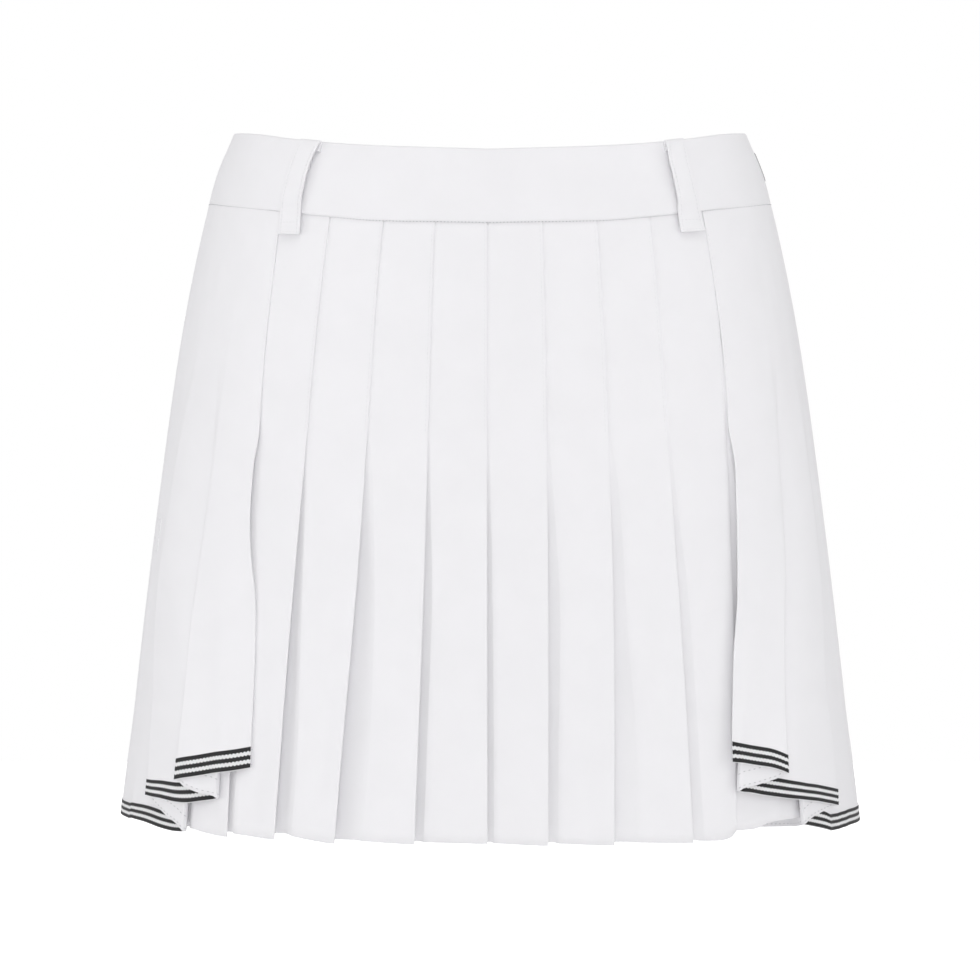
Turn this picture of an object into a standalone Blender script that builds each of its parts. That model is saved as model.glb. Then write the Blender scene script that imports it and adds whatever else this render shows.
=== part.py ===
"""Pleated golf skirt, standing hollow as if worn.

Lengths are in millimetres and angles in degrees until a mesh is made. Angles
run round the body from the centre front: positive towards +X, 180 at the
centre back. The origin is the centre of the waist opening, halfway up the
waistband, where the wearer's waist holds the skirt.
"""

import math
from typing import NamedTuple

import bmesh
import bpy

MM = 0.001

# Cloth and trim
CLOTH = 1.0
BAND = 2.4
RIBBON = 1.0
RIBBON_HEIGHT = 10.9
LOOP_WALL = 1.4
LOOP_WIDTH = 14.0
LOOP_CLEARANCE = 6.4
PATCH_WALL = 1.0
PLATE_WALL = 1.2
SEAM_GAP = 0.4

# Layers, as distances between the middles of neighbouring walls
LAYER = 1.5
OVERLAY_OUT = -0.5
FRONT_OUT = -2.1
BAND_OUT = -1.0

# Front pleats
PLEAT_DEPTH = 4.6
PLEAT_RELEASE = -135.0
PLEAT_LIFT = 3.2
FRONT_END = 85.0

SIDE_SEAM = 89.85
BACK_FOLD_DEPTH = 9.0


class LoopRow(NamedTuple):
    name: str
    top: float
    middle: float
    foot: float


class FormRow(NamedTuple):
    height: float
    half_width: float
    front_depth: float
    back_depth: float


class EdgeRow(NamedTuple):
    angle: float
    waist: float
    seam: float


class PleatRow(NamedTuple):
    seam_angle: float
    middle_angle: float
    hem_angle: float
    hem: float
    rest: float


class CascadeRow(NamedTuple):
    height: float
    edge: float
    edge_out: float
    fold_1: float
    tuck_1: float
    lift_1: float
    fold_2: float
    tuck_2: float
    lift_2: float


class HemRow(NamedTuple):
    station: float
    hem: float


class BackHemRow(NamedTuple):
    angle: float
    hem: float


class SoftFold(NamedTuple):
    angle: float
    width: float
    depth: float
    start: float


FORM = (
    FormRow(50.0, 142.5, 101.5, 99.0),
    FormRow(37.1, 146.4, 104.5, 102.0),
    FormRow(10.7, 156.7, 113.5, 111.0),
    FormRow(-23.8, 165.6, 120.5, 120.0),
    FormRow(-81.2, 176.8, 129.5, 133.0),
    FormRow(-173.1, 189.7, 139.5, 145.0),
    FormRow(-265.0, 200.6, 148.5, 154.0),
    FormRow(-355.0, 210.0, 156.5, 162.0),
    FormRow(-385.0, 213.0, 159.0, 165.0),
)

# Upper edge and lower seam of the waistband
BAND_EDGES = (
    EdgeRow(0.0, 18.8, -21.6),
    EdgeRow(20.0, 21.0, -20.2),
    EdgeRow(33.0, 23.6, -17.0),
    EdgeRow(46.0, 27.4, -12.8),
    EdgeRow(62.0, 32.4, -8.4),
    EdgeRow(79.0, 35.6, -4.6),
    EdgeRow(90.0, 37.0, -3.5),
    EdgeRow(135.0, 36.0, -3.0),
    EdgeRow(180.0, 35.0, -3.0),
)

# Fold edges of the front pleats, all turned towards +X
PLEATS = (
    PleatRow(-53.5, -53.2, -52.6, -354.2, -353.8),
    PleatRow(-43.2, -42.8, -42.6, -355.9, -354.2),
    PleatRow(-32.6, -33.0, -33.6, -356.2, -353.2),
    PleatRow(-20.9, -21.4, -23.3, -357.2, -355.4),
    PleatRow(-10.6, -10.5, -11.1, -356.8, -355.4),
    PleatRow(-0.6, -0.5, -0.4, -356.3, -355.5),
    PleatRow(9.9, 9.3, 8.5, -357.4, -355.9),
    PleatRow(20.7, 20.0, 18.4, -357.8, -356.4),
    PleatRow(32.2, 31.5, 31.4, -357.8, -356.2),
    PleatRow(43.4, 41.6, 39.4, -355.2, -353.6),
    PleatRow(54.2, 53.6, 53.0, -347.8, -346.0),
)
FRONT_LEVELS = (-60.0, -100.0, PLEAT_RELEASE, -172.0, -225.0, -290.0)

# Side overlays: where the front edge and the two folds lie at each height.
# fold is a fold's outer edge, tuck its hidden inner edge, lift its thickness.
CASCADE_RIGHT = (
    CascadeRow(-10.0, 45.2, 0.0, 54.0, 57.0, 0.0, 66.0, 69.0, 0.0),
    CascadeRow(-60.0, 44.4, 0.0, 54.3, 57.3, 0.6, 66.0, 69.0, 0.3),
    CascadeRow(-100.0, 44.0, 0.0, 54.5, 56.0, 3.2, 65.0, 67.0, 1.6),
    CascadeRow(-135.0, 43.7, 0.4, 54.6, 54.9, 4.2, 64.3, 65.3, 3.4),
    CascadeRow(-170.0, 43.4, 1.6, 54.7, 52.4, 4.2, 63.7, 63.2, 4.2),
    CascadeRow(-205.0, 42.0, 2.2, 54.8, 50.6, 3.6, 63.7, 60.6, 3.8),
    CascadeRow(-240.0, 40.2, 1.8, 54.7, 48.8, 3.4, 63.9, 58.2, 3.4),
    CascadeRow(-283.0, 39.6, 1.4, 53.8, 47.2, 4.0, 63.8, 55.4, 4.0),
    CascadeRow(-308.0, 39.2, 1.2, 52.8, 46.4, 5.4, 63.4, 53.6, 5.4),
    CascadeRow(-330.0, 38.8, 1.2, 52.0, 46.0, 5.4, 62.8, 52.8, 5.4),
    CascadeRow(-360.0, 38.8, 1.2, 51.8, 45.8, 5.4, 62.6, 52.6, 5.4),
)
CASCADE_LEFT = (
    CascadeRow(-10.0, 46.2, 0.0, 60.5, 63.5, 0.0, 73.0, 76.0, 0.0),
    CascadeRow(-60.0, 46.3, 0.0, 61.0, 64.0, 0.6, 73.0, 76.0, 0.3),
    CascadeRow(-100.0, 46.1, 0.0, 59.9, 61.8, 3.2, 72.6, 75.0, 1.6),
    CascadeRow(-135.0, 45.5, 1.6, 58.6, 58.7, 4.2, 72.2, 73.6, 3.2),
    CascadeRow(-170.0, 44.2, 3.6, 57.4, 54.6, 4.2, 71.8, 71.6, 4.2),
    CascadeRow(-205.0, 42.9, 4.4, 55.8, 51.4, 3.6, 70.8, 67.4, 3.8),
    CascadeRow(-240.0, 41.5, 4.6, 53.6, 48.0, 3.4, 68.4, 63.6, 3.4),
    CascadeRow(-283.0, 39.5, 4.6, 51.2, 44.0, 4.0, 65.9, 58.4, 4.0),
    CascadeRow(-308.0, 39.0, 5.0, 49.2, 41.8, 5.4, 64.0, 56.8, 5.4),
    CascadeRow(-330.0, 38.7, 5.4, 48.2, 40.6, 5.4, 63.6, 56.0, 5.4),
    CascadeRow(-360.0, 38.7, 5.4, 48.0, 40.4, 5.4, 63.4, 55.8, 5.4),
)
# Overlay hems: station 0 front edge, 1 and 3 folds, 2 and 4 tucks, 6 side seam
HEM_RIGHT = (
    HemRow(0.0, -317.8),
    HemRow(0.5, -322.6),
    HemRow(1.0, -326.2),
    HemRow(2.0, -334.2),
    HemRow(2.5, -336.0),
    HemRow(3.0, -337.3),
    HemRow(4.0, -354.0),
    HemRow(5.0, -350.6),
    HemRow(6.0, -351.0),
)
HEM_LEFT = (
    HemRow(0.0, -314.4),
    HemRow(0.5, -316.4),
    HemRow(1.0, -322.2),
    HemRow(2.0, -330.8),
    HemRow(2.5, -336.6),
    HemRow(3.0, -342.6),
    HemRow(4.0, -351.6),
    HemRow(4.6, -356.0),
    HemRow(6.0, -352.4),
)
OVERLAY_LEVELS = (-50.0, -80.0, -108.0, -135.0, -165.0, -200.0, -238.0, -272.0, -300.0)

# Back panel: hem heights by angle, and soft folds that fade out upwards
BACK_HEM = (
    BackHemRow(90.0, -351.5),
    BackHemRow(100.0, -356.0),
    BackHemRow(110.0, -362.0),
    BackHemRow(124.0, -369.0),
    BackHemRow(150.0, -374.0),
    BackHemRow(180.0, -376.0),
)
BACK_FOLDS = (
    SoftFold(108.0, 8.0, 0.75, -90.0),
    SoftFold(131.0, 10.0, 1.0, -60.0),
    SoftFold(156.0, 9.0, 0.8, -120.0),
    SoftFold(181.0, 11.0, 1.0, -70.0),
    SoftFold(207.0, 9.0, 0.7, -130.0),
    SoftFold(230.0, 10.0, 0.95, -80.0),
    SoftFold(253.0, 8.0, 0.7, -110.0),
)
BACK_LEVELS = (-55.0, -100.0, -145.0, -190.0, -235.0, -280.0, -322.0)

# Belt loops: angles of the top, the standing part and the sewn foot
LOOPS = (
    LoopRow("belt_loop_front_right", -41.0, -39.7, -41.5),
    LoopRow("belt_loop_front_left", 42.3, 40.3, 42.0),
    LoopRow("belt_loop_back_right", -124.0, -124.0, -124.0),
    LoopRow("belt_loop_back_left", 124.0, 124.0, 124.0),
    LoopRow("belt_loop_back_center", 180.0, 180.0, 180.0),
)
LOOP_FOOT = -26.0


def smooth_value(xs, ys, x):
    """Read a curve through the points (xs rising), without overshoot."""
    if x <= xs[0]:
        return ys[0]
    if x >= xs[-1]:
        return ys[-1]
    count = len(xs)
    slopes = [(ys[i + 1] - ys[i]) / (xs[i + 1] - xs[i]) for i in range(count - 1)]
    index = max(i for i in range(count - 1) if xs[i] <= x)

    def tangent(i):
        if i == 0:
            return slopes[0]
        if i == count - 1:
            return slopes[-1]
        if slopes[i - 1] * slopes[i] <= 0.0:
            return 0.0
        return 2.0 * slopes[i - 1] * slopes[i] / (slopes[i - 1] + slopes[i])

    span = xs[index + 1] - xs[index]
    t = (x - xs[index]) / span
    start = ys[index] * (2 * t**3 - 3 * t**2 + 1) + tangent(index) * span * (t**3 - 2 * t**2 + t)
    end = ys[index + 1] * (3 * t**2 - 2 * t**3) + tangent(index + 1) * span * (t**3 - t**2)
    return start + end


def read(rows, key, name, x):
    """Read one named column of a table at x, measured along its key column."""
    ordered = sorted(rows, key=lambda row: getattr(row, key))
    xs = [getattr(row, key) for row in ordered]
    ys = [getattr(row, name) for row in ordered]
    return smooth_value(xs, ys, x)


def ease(low, high, x):
    """Rise smoothly from 0 at low to 1 at high."""
    t = min(1.0, max(0.0, (x - low) / (high - low)))
    return t * t * (3.0 - 2.0 * t)


def form_point(angle, height, out=0.0):
    """Point at an angle and height, moved out from the body form."""
    turn = math.radians(angle)
    side, front = math.sin(turn), math.cos(turn)
    width = read(FORM, "height", "half_width", height)
    depth = read(FORM, "height", "front_depth" if front > 0 else "back_depth", height)
    normal = math.hypot(depth * side, width * front)
    x = width * side + out * depth * side / normal
    y = -(depth * front + out * width * front / normal)
    return (x, y, height)


def waist_height(angle):
    """Height of the waistband's upper edge."""
    return read(BAND_EDGES, "angle", "waist", 180.0 - abs(180.0 - abs(angle)))


def seam_height(angle):
    """Height of the waistband's lower seam."""
    return read(BAND_EDGES, "angle", "seam", 180.0 - abs(180.0 - abs(angle)))


def spread(start, end, count):
    """Evenly spaced values from start to end, both included."""
    return [start + (end - start) * i / count for i in range(count + 1)]


def move_out(points, distance):
    """Offset a row of points sideways in plan, to the left of its direction."""
    moved = []
    last = len(points) - 1
    for i, (x, y, z) in enumerate(points):
        before = points[max(i - 1, 0)]
        after = points[min(i + 1, last)]
        first = (x - before[0], y - before[1]) if i > 0 else (after[0] - x, after[1] - y)
        second = (after[0] - x, after[1] - y) if i < last else first
        length_1, length_2 = math.hypot(*first), math.hypot(*second)
        n1 = (-first[1] / length_1, first[0] / length_1)
        n2 = (-second[1] / length_2, second[0] / length_2)
        scale = distance / (1.0 + n1[0] * n2[0] + n1[1] * n2[1])
        moved.append((x + (n1[0] + n2[0]) * scale, y + (n1[1] + n2[1]) * scale, z))
    return moved


def between(row_a, row_b, share):
    """Blend two rows of points."""
    return [tuple(a + (b - a) * share for a, b in zip(p, q)) for p, q in zip(row_a, row_b)]


def make_material(name, color, roughness, metallic=0.0):
    """Create a Principled material."""
    material = bpy.data.materials.new(name)
    material.use_nodes = True
    shader = material.node_tree.nodes["Principled BSDF"]
    shader.inputs["Base Color"].default_value = (*color, 1.0)
    shader.inputs["Roughness"].default_value = roughness
    shader.inputs["Metallic"].default_value = metallic
    return material


def make_sheet(name, rows, wall, material, collection, smooth=True):
    """Loft rows of points into an open surface and give it a wall."""
    mesh = bpy.data.meshes.new(name)
    sheet = bmesh.new()
    grid = [[sheet.verts.new([value * MM for value in point]) for point in row] for row in rows]
    for upper, lower in zip(grid, grid[1:]):
        for i in range(len(upper) - 1):
            face = sheet.faces.new((upper[i], lower[i], lower[i + 1], upper[i + 1]))
            face.smooth = smooth
    sheet.to_mesh(mesh)
    sheet.free()
    mesh.set_sharp_from_angle(angle=math.radians(50.0))
    mesh.materials.append(material)
    part = bpy.data.objects.new(name, mesh)
    collection.objects.link(part)
    solidify = part.modifiers.new("Wall", "SOLIDIFY")
    solidify.thickness = wall * MM
    solidify.offset = 0.0
    solidify.use_even_offset = True
    solidify.use_quality_normals = True
    return part


def band_rows(start, end, count):
    """Rows of the waistband between two side seams."""
    rows = []
    for share in (0.0, 0.5, 1.0):
        row = []
        for angle in spread(start, end, count):
            top = waist_height(angle)
            bottom = seam_height(angle) + SEAM_GAP / 2
            row.append(form_point(angle, top + (bottom - top) * share, BAND_OUT))
        rows.append(row)
    return rows


def pleat_angle(pleat, height):
    """Angle of a fold edge at a height."""
    xs = (-355.0, -190.0, -20.0)
    return smooth_value(xs, (pleat.hem_angle, pleat.middle_angle, pleat.seam_angle), height)


def front_section(height):
    """Stations (angle, out, hem) of the knife-pleated front panel at a height."""
    outer = FRONT_OUT
    middle = FRONT_OUT - LAYER
    inner = FRONT_OUT - 2 * LAYER
    stations = [(-FRONT_END, outer, -343.0), (-FRONT_END + 8.0, outer, -343.0)]
    for index, pleat in enumerate(PLEATS):
        edge = pleat_angle(pleat, height)
        tuck = edge - PLEAT_DEPTH
        shown = abs(pleat.hem_angle) < 38.0
        free = ease(-PLEAT_RELEASE, 300.0, -height) if shown else 0.0
        lift = PLEAT_LIFT * (0.7 + 0.3 * math.cos(2.4 * index)) * free
        rest = pleat.rest
        stations += [
            (tuck, outer, pleat.hem + 0.8),
            (edge, outer + lift, pleat.hem),
            (edge, middle + lift, pleat.hem + 0.4),
            (tuck, middle, rest),
            (tuck, inner, rest),
            (edge, inner, rest),
        ]
        if index + 1 < len(PLEATS):
            following = pleat_angle(PLEATS[index + 1], height) - PLEAT_DEPTH
            for share in (0.36, 0.7):
                level = inner + (outer - inner) * ease(0.0, 1.0, share)
                hem = rest + (PLEATS[index + 1].hem + 0.8 - rest) * share
                stations.append((edge + (following - edge) * share, level, hem))
    last = stations[-1][0]
    for share in (0.3, 0.65, 1.0):
        level = inner + (outer - inner) * ease(0.0, 0.65, share)
        stations.append((last + (FRONT_END - last) * share, level, -343.0))
    return stations


def front_rows():
    """Rows of the front panel from its seam to its hem."""
    top = [
        form_point(angle, seam_height(angle) - SEAM_GAP / 2, out)
        for angle, out, _ in front_section(-20.0)
    ]
    rows = [top]
    for level in FRONT_LEVELS:
        rows.append([form_point(angle, level, out) for angle, out, _ in front_section(level)])
    stations = front_section(-355.0)
    rows.append([form_point(angle, hem, out) for angle, out, hem in stations])
    return rows


def cascade_columns(table, height):
    """Stations (angle, out) of one overlay at a height, from its front edge back.

    Each fold is an S in plan: flat near the waist, a ridge lower down, and
    laid over itself at the hem, with room inside it for the hem ribbon.
    """
    row = {
        name: read(table, "height", name, height)
        for name in CascadeRow._fields if name != "height"
    }
    base = OVERLAY_OUT
    room = min(LAYER, 0.45 * row["lift_1"]) if row["lift_1"] < 3.0 else LAYER
    room_2 = min(LAYER, 0.45 * row["lift_2"]) if row["lift_2"] < 3.0 else LAYER
    fold_1, tuck_1 = row["fold_1"], row["tuck_1"]
    fold_2, tuck_2 = row["fold_2"], row["tuck_2"]
    lift_1, lift_2 = row["lift_1"], row["lift_2"]

    def second(angle):
        return base + lift_2 * ease(min(tuck_1, fold_1), tuck_2 - 1.2, angle)

    def first(angle):
        start = base + row["edge_out"]
        end = second(angle) + lift_1
        low = min(tuck_1, fold_1 - 3.0) - 1.0
        return start + (end - start) * ease(row["edge"], low, angle)

    columns = []
    for share in (0.0, 0.22, 0.42, 0.61, 0.8):
        angle = row["edge"] + (fold_1 - row["edge"]) * share
        columns.append((angle, first(angle), share))
    columns.append((fold_1, second(fold_1) + lift_1, 1.0))
    inner_1 = lift_1 - room
    columns.append((fold_1 + 0.2 * ease(3.0, 0.0, lift_1), second(fold_1) + inner_1, 1.01))
    drop = (lift_1 - 2 * room) * ease(-1.0, 2.0, tuck_1 - fold_1)
    for share in (0.34, 0.67):
        angle = fold_1 + (tuck_1 - fold_1) * share
        columns.append((angle, second(angle) + inner_1 - drop * share, 1.0 + share))
    columns.append((tuck_1, second(tuck_1) + inner_1 - drop, 1.99))
    columns.append((tuck_1 + 0.2 * ease(3.0, 0.0, lift_1), second(tuck_1), 2.0))
    for share in (0.17, 0.34, 0.5, 0.66, 0.83):
        angle = tuck_1 + (fold_2 - tuck_1) * share
        columns.append((angle, second(angle), 2.0 + share))
    columns.append((fold_2, base + lift_2, 3.0))
    inner_2 = lift_2 - room_2
    columns.append((fold_2 + 0.2 * ease(3.0, 0.0, lift_2), base + inner_2, 3.01))
    drop = (lift_2 - 2 * room_2) * ease(-1.0, 2.0, tuck_2 - fold_2)
    for share in (0.34, 0.67):
        angle = fold_2 + (tuck_2 - fold_2) * share
        columns.append((angle, base + inner_2 - drop * share, 3.0 + share))
    columns.append((tuck_2, base + inner_2 - drop, 3.99))
    columns.append((tuck_2 + 0.2 * ease(3.0, 0.0, lift_2), base, 4.0))
    for step in range(1, 10):
        share = step / 9
        angle = tuck_2 + (SIDE_SEAM - tuck_2) * share
        columns.append((angle, base, 4.0 + 2.0 * share))
    return columns


def overlay_rows(table, hems, side):
    """Rows of one overlay from its seam to its hem; side is -1 or 1."""
    stations = [station for _, _, station in cascade_columns(table, -300.0)]
    ends = [read(hems, "station", "hem", station) for station in stations]
    rows = []
    for level in (None, *OVERLAY_LEVELS, "ribbon", "hem"):
        row = []
        for index, end in enumerate(ends):
            height = level
            if level is None:
                angle = cascade_columns(table, -20.0)[index][0]
                height = seam_height(angle) - SEAM_GAP / 2
            if level == "ribbon":
                height = end + RIBBON_HEIGHT + 0.6
            if level == "hem":
                height = end
            angle, out, _ = cascade_columns(table, height)[index]
            row.append(form_point(side * angle, height, out))
        rows.append(row)
    return rows


def back_out(angle, height):
    """How far the back panel stands out, with its soft folds."""
    out = OVERLAY_OUT
    for fold in BACK_FOLDS:
        grown = ease(-fold.start, 370.0, -height)
        shape = math.exp(-(((angle - fold.angle) / fold.width) ** 2))
        out += BACK_FOLD_DEPTH * fold.depth * grown * shape
    near = min(angle - 90.0, 270.0 - angle)
    return OVERLAY_OUT + (out - OVERLAY_OUT) * ease(0.0, 10.0, near)


def back_rows():
    """Rows of the back panel from its seam to its hem."""
    angles = spread(180.0 - SIDE_SEAM, 180.0 + SIDE_SEAM, 36)
    ends = [read(BACK_HEM, "angle", "hem", 180.0 - abs(180.0 - angle)) for angle in angles]
    rows = [[form_point(a, seam_height(a) - SEAM_GAP / 2, OVERLAY_OUT) for a in angles]]
    for level in BACK_LEVELS:
        rows.append([form_point(a, level, back_out(a, level)) for a in angles])
    for rise in (RIBBON_HEIGHT + 0.6, 0.0):
        rows.append([form_point(a, e + rise, back_out(a, e + rise)) for a, e in zip(angles, ends)])
    return rows


def ribbon_rows(panel, distance):
    """Rows of a hem ribbon, from a panel's last two rows moved out."""
    share = 0.3 / (RIBBON_HEIGHT + 0.6)
    upper = move_out(panel[-2], distance)
    lower = move_out(panel[-1], distance)
    return [between(upper, lower, share), between(upper, lower, 1.0 - share)]


def across(angle, height, out, half_width, count):
    """Row of points along the form, reaching half_width either way."""
    left = form_point(angle - 1.0, height, out)
    right = form_point(angle + 1.0, height, out)
    half = half_width / (math.dist(left, right) / 2.0)
    return [form_point(a, height, out) for a in spread(angle - half, angle + half, count)]


def loop_rows(loop):
    """Rows of a belt loop, turned under at its top, that stands off the band."""
    top = waist_height(loop.top) + 0.9
    low = BAND_OUT + BAND / 2 + SEAM_GAP + LOOP_WALL / 2
    far = BAND_OUT + BAND / 2 + LOOP_CLEARANCE + LOOP_WALL / 2
    turn = low + LOOP_WALL + SEAM_GAP
    length = top - LOOP_FOOT
    path = (
        (9.0, low),
        (0.0, low),
        (0.0, turn),
        (5.0, turn + 1.6),
        (12.5, far),
        (23.0, far + 0.3),
        (33.0, far),
        (41.0, turn + 1.4),
        (length - 7.0, low),
        (length, low),
    )
    marks = (0.0, 0.45 * length, length)
    angles = (loop.top, loop.middle, loop.foot)
    return [
        across(smooth_value(marks, angles, down), top - down, out, LOOP_WIDTH / 2, 2)
        for down, out in path
    ]


def patch_rows(angle, half_width, top, bottom, out):
    """Rows of a small flat piece lying on the form."""
    return [across(angle, height, out, half_width, 4) for height in spread(top, bottom, 2)]


def build():
    """Build every piece of the skirt."""
    for item in list(bpy.data.objects):
        bpy.data.objects.remove(item)
    collection = bpy.data.collections.new("golf_skirt")
    bpy.context.scene.collection.children.link(collection)

    white = make_material("white_cloth", (0.86, 0.86, 0.87), 0.85)
    striped = make_material("striped_ribbon", (0.1, 0.1, 0.11), 0.7)
    steel = make_material("dark_metal", (0.3, 0.3, 0.31), 0.35, 0.9)

    front_band = band_rows(-SIDE_SEAM, SIDE_SEAM, 40)
    back_band = band_rows(180.0 - SIDE_SEAM, 180.0 + SIDE_SEAM, 36)
    make_sheet("waistband_front", front_band, BAND, white, collection)
    make_sheet("waistband_back", back_band, BAND, white, collection)

    make_sheet("front_panel", front_rows(), CLOTH, white, collection)

    reach = CLOTH / 2 + RIBBON / 2 + 0.3
    right = overlay_rows(CASCADE_RIGHT, HEM_RIGHT, -1)
    left = overlay_rows(CASCADE_LEFT, HEM_LEFT, 1)
    back = back_rows()
    make_sheet("overlay_right", right, CLOTH, white, collection)
    make_sheet("overlay_left", left, CLOTH, white, collection)
    make_sheet("back_panel", back, CLOTH, white, collection)
    make_sheet("ribbon_right", ribbon_rows(right, reach), RIBBON, striped, collection)
    make_sheet("ribbon_left", ribbon_rows(left, -reach), RIBBON, striped, collection)
    make_sheet("ribbon_back", ribbon_rows(back, -reach), RIBBON, striped, collection)

    for loop in LOOPS:
        make_sheet(loop.name, loop_rows(loop), LOOP_WALL, white, collection)

    patch_out = OVERLAY_OUT + CLOTH / 2 + 0.3 + PATCH_WALL / 2
    patch = patch_rows(-78.0, 5.5, -182.5, -203.0, patch_out)
    make_sheet("side_patch", patch, PATCH_WALL, white, collection)
    plate_out = BAND_OUT + BAND / 2 + 0.5 + PLATE_WALL / 2
    plate = patch_rows(96.0, 9.0, 26.5, 10.0, plate_out)
    make_sheet("band_plate", plate, PLATE_WALL, steel, collection)


build()
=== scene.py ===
"""Golf skirt: fine cloth, striped hem ribbon, stitching and a plain studio.

Tables hold millimetres and degrees; meshes are made in metres. Angles run
round the body from the centre front, positive towards +X.
"""

from __future__ import annotations

import logging
import math
from dataclasses import dataclass, field
from enum import Enum

import bpy
import numpy as np
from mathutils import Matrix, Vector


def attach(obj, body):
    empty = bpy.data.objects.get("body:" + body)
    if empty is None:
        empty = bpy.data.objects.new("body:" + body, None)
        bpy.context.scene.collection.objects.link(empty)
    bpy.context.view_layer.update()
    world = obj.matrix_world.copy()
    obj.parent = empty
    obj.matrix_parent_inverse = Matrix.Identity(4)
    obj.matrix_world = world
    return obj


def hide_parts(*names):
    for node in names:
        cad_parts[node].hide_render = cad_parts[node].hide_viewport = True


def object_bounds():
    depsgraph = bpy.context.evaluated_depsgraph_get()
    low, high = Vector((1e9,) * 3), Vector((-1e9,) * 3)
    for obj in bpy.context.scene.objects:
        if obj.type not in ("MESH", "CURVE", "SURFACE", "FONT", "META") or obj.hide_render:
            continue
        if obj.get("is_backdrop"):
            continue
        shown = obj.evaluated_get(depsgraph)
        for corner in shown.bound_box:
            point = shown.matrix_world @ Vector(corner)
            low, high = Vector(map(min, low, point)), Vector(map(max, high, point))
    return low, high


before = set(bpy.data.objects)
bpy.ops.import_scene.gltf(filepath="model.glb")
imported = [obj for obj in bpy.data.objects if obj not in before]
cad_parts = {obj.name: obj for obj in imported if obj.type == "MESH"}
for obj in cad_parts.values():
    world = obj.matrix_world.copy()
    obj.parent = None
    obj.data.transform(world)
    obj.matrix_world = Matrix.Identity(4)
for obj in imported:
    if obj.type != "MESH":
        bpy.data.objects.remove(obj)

LOG = logging.getLogger("golf_skirt")
CAD_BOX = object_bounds()
MM = 0.001
TINY = 1e-6
DEGREE = 0.01745  # radians
SEAM_LEVEL = -20.0
STITCH_TOP = -24.0
UV_NAME = "measured"
WHITE = (1.0, 1.0, 1.0, 1.0)
Array = np.ndarray
Socket = bpy.types.NodeSocket
Pair = tuple[float, float]
Color = tuple[float, float, float]
Rows = tuple[tuple[float, ...], ...]


class Slot(Enum):
    """Material slots of the record."""

    CLOTH = "white_cloth"
    RIBBON = "striped_ribbon"
    PLATE = "band_plate"


class Hold(Enum):
    """Ways in which a sheet is held."""

    HUNG = "hung"
    FOLDED = "folded"
    STRETCHED = "stretched"


class Run(Enum):
    """Stretches of an overlay between its edge, folds and tucks."""

    FACE = "face"
    UNDER_1 = "under_1"
    MIDDLE = "middle"
    UNDER_2 = "under_2"
    REAR = "rear"


def ease(low: Array | float, high: Array | float, at: Array) -> Array:
    """Rise smoothly from 0 at low to 1 at high.

    Args:
        low: where the rise starts.
        high: where the rise ends.
        at: values to read.

    Returns:
        Values from 0 to 1, shaped as at.
    """
    share = np.clip((at - low) / (high - low), 0.0, 1.0)
    return share * share * (3.0 - 2.0 * share)


def smooth(rows: Rows, at: Array | float, column: int = 1) -> Array:
    """Read a table as a smooth curve over its first column, without overshoot.

    Args:
        rows: the table.
        at: values along the first column.
        column: the column to read.

    Returns:
        The column's values there.
    """
    table = np.array(sorted(rows), dtype=float)
    xs, ys = table[:, 0], table[:, column]
    at = np.clip(np.asarray(at, dtype=float), xs[0], xs[-1])
    step = np.diff(xs)
    slope = np.diff(ys) / step
    tangent = np.concatenate(([slope[0]], np.zeros(len(xs) - 2), [slope[-1]]))
    product, total = slope[:-1] * slope[1:], slope[:-1] + slope[1:]
    safe = np.where(total == 0.0, 1.0, total)
    tangent[1:-1] = np.where(product > 0.0, 2.0 * product / safe, 0.0)
    index = np.clip(np.searchsorted(xs, at, side="right") - 1, 0, len(xs) - 2)
    t = (at - xs[index]) / step[index]
    start = ys[index] * (2 * t**3 - 3 * t**2 + 1)
    start += tangent[index] * step[index] * (t**3 - 2 * t**2 + t)
    end = ys[index + 1] * (3 * t**2 - 2 * t**3)
    end += tangent[index + 1] * step[index] * (t**3 - t**2)
    return start + end


@dataclass(frozen=True)
class SmoothTable:
    """A table with named columns, read as smooth curves over its first column."""

    columns: tuple[str, ...]
    rows: Rows

    def read(self, name: str, at: Array | float) -> Array:
        """Return one column's values at places along the first column."""
        return smooth(self.rows, at, self.columns.index(name))


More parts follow.
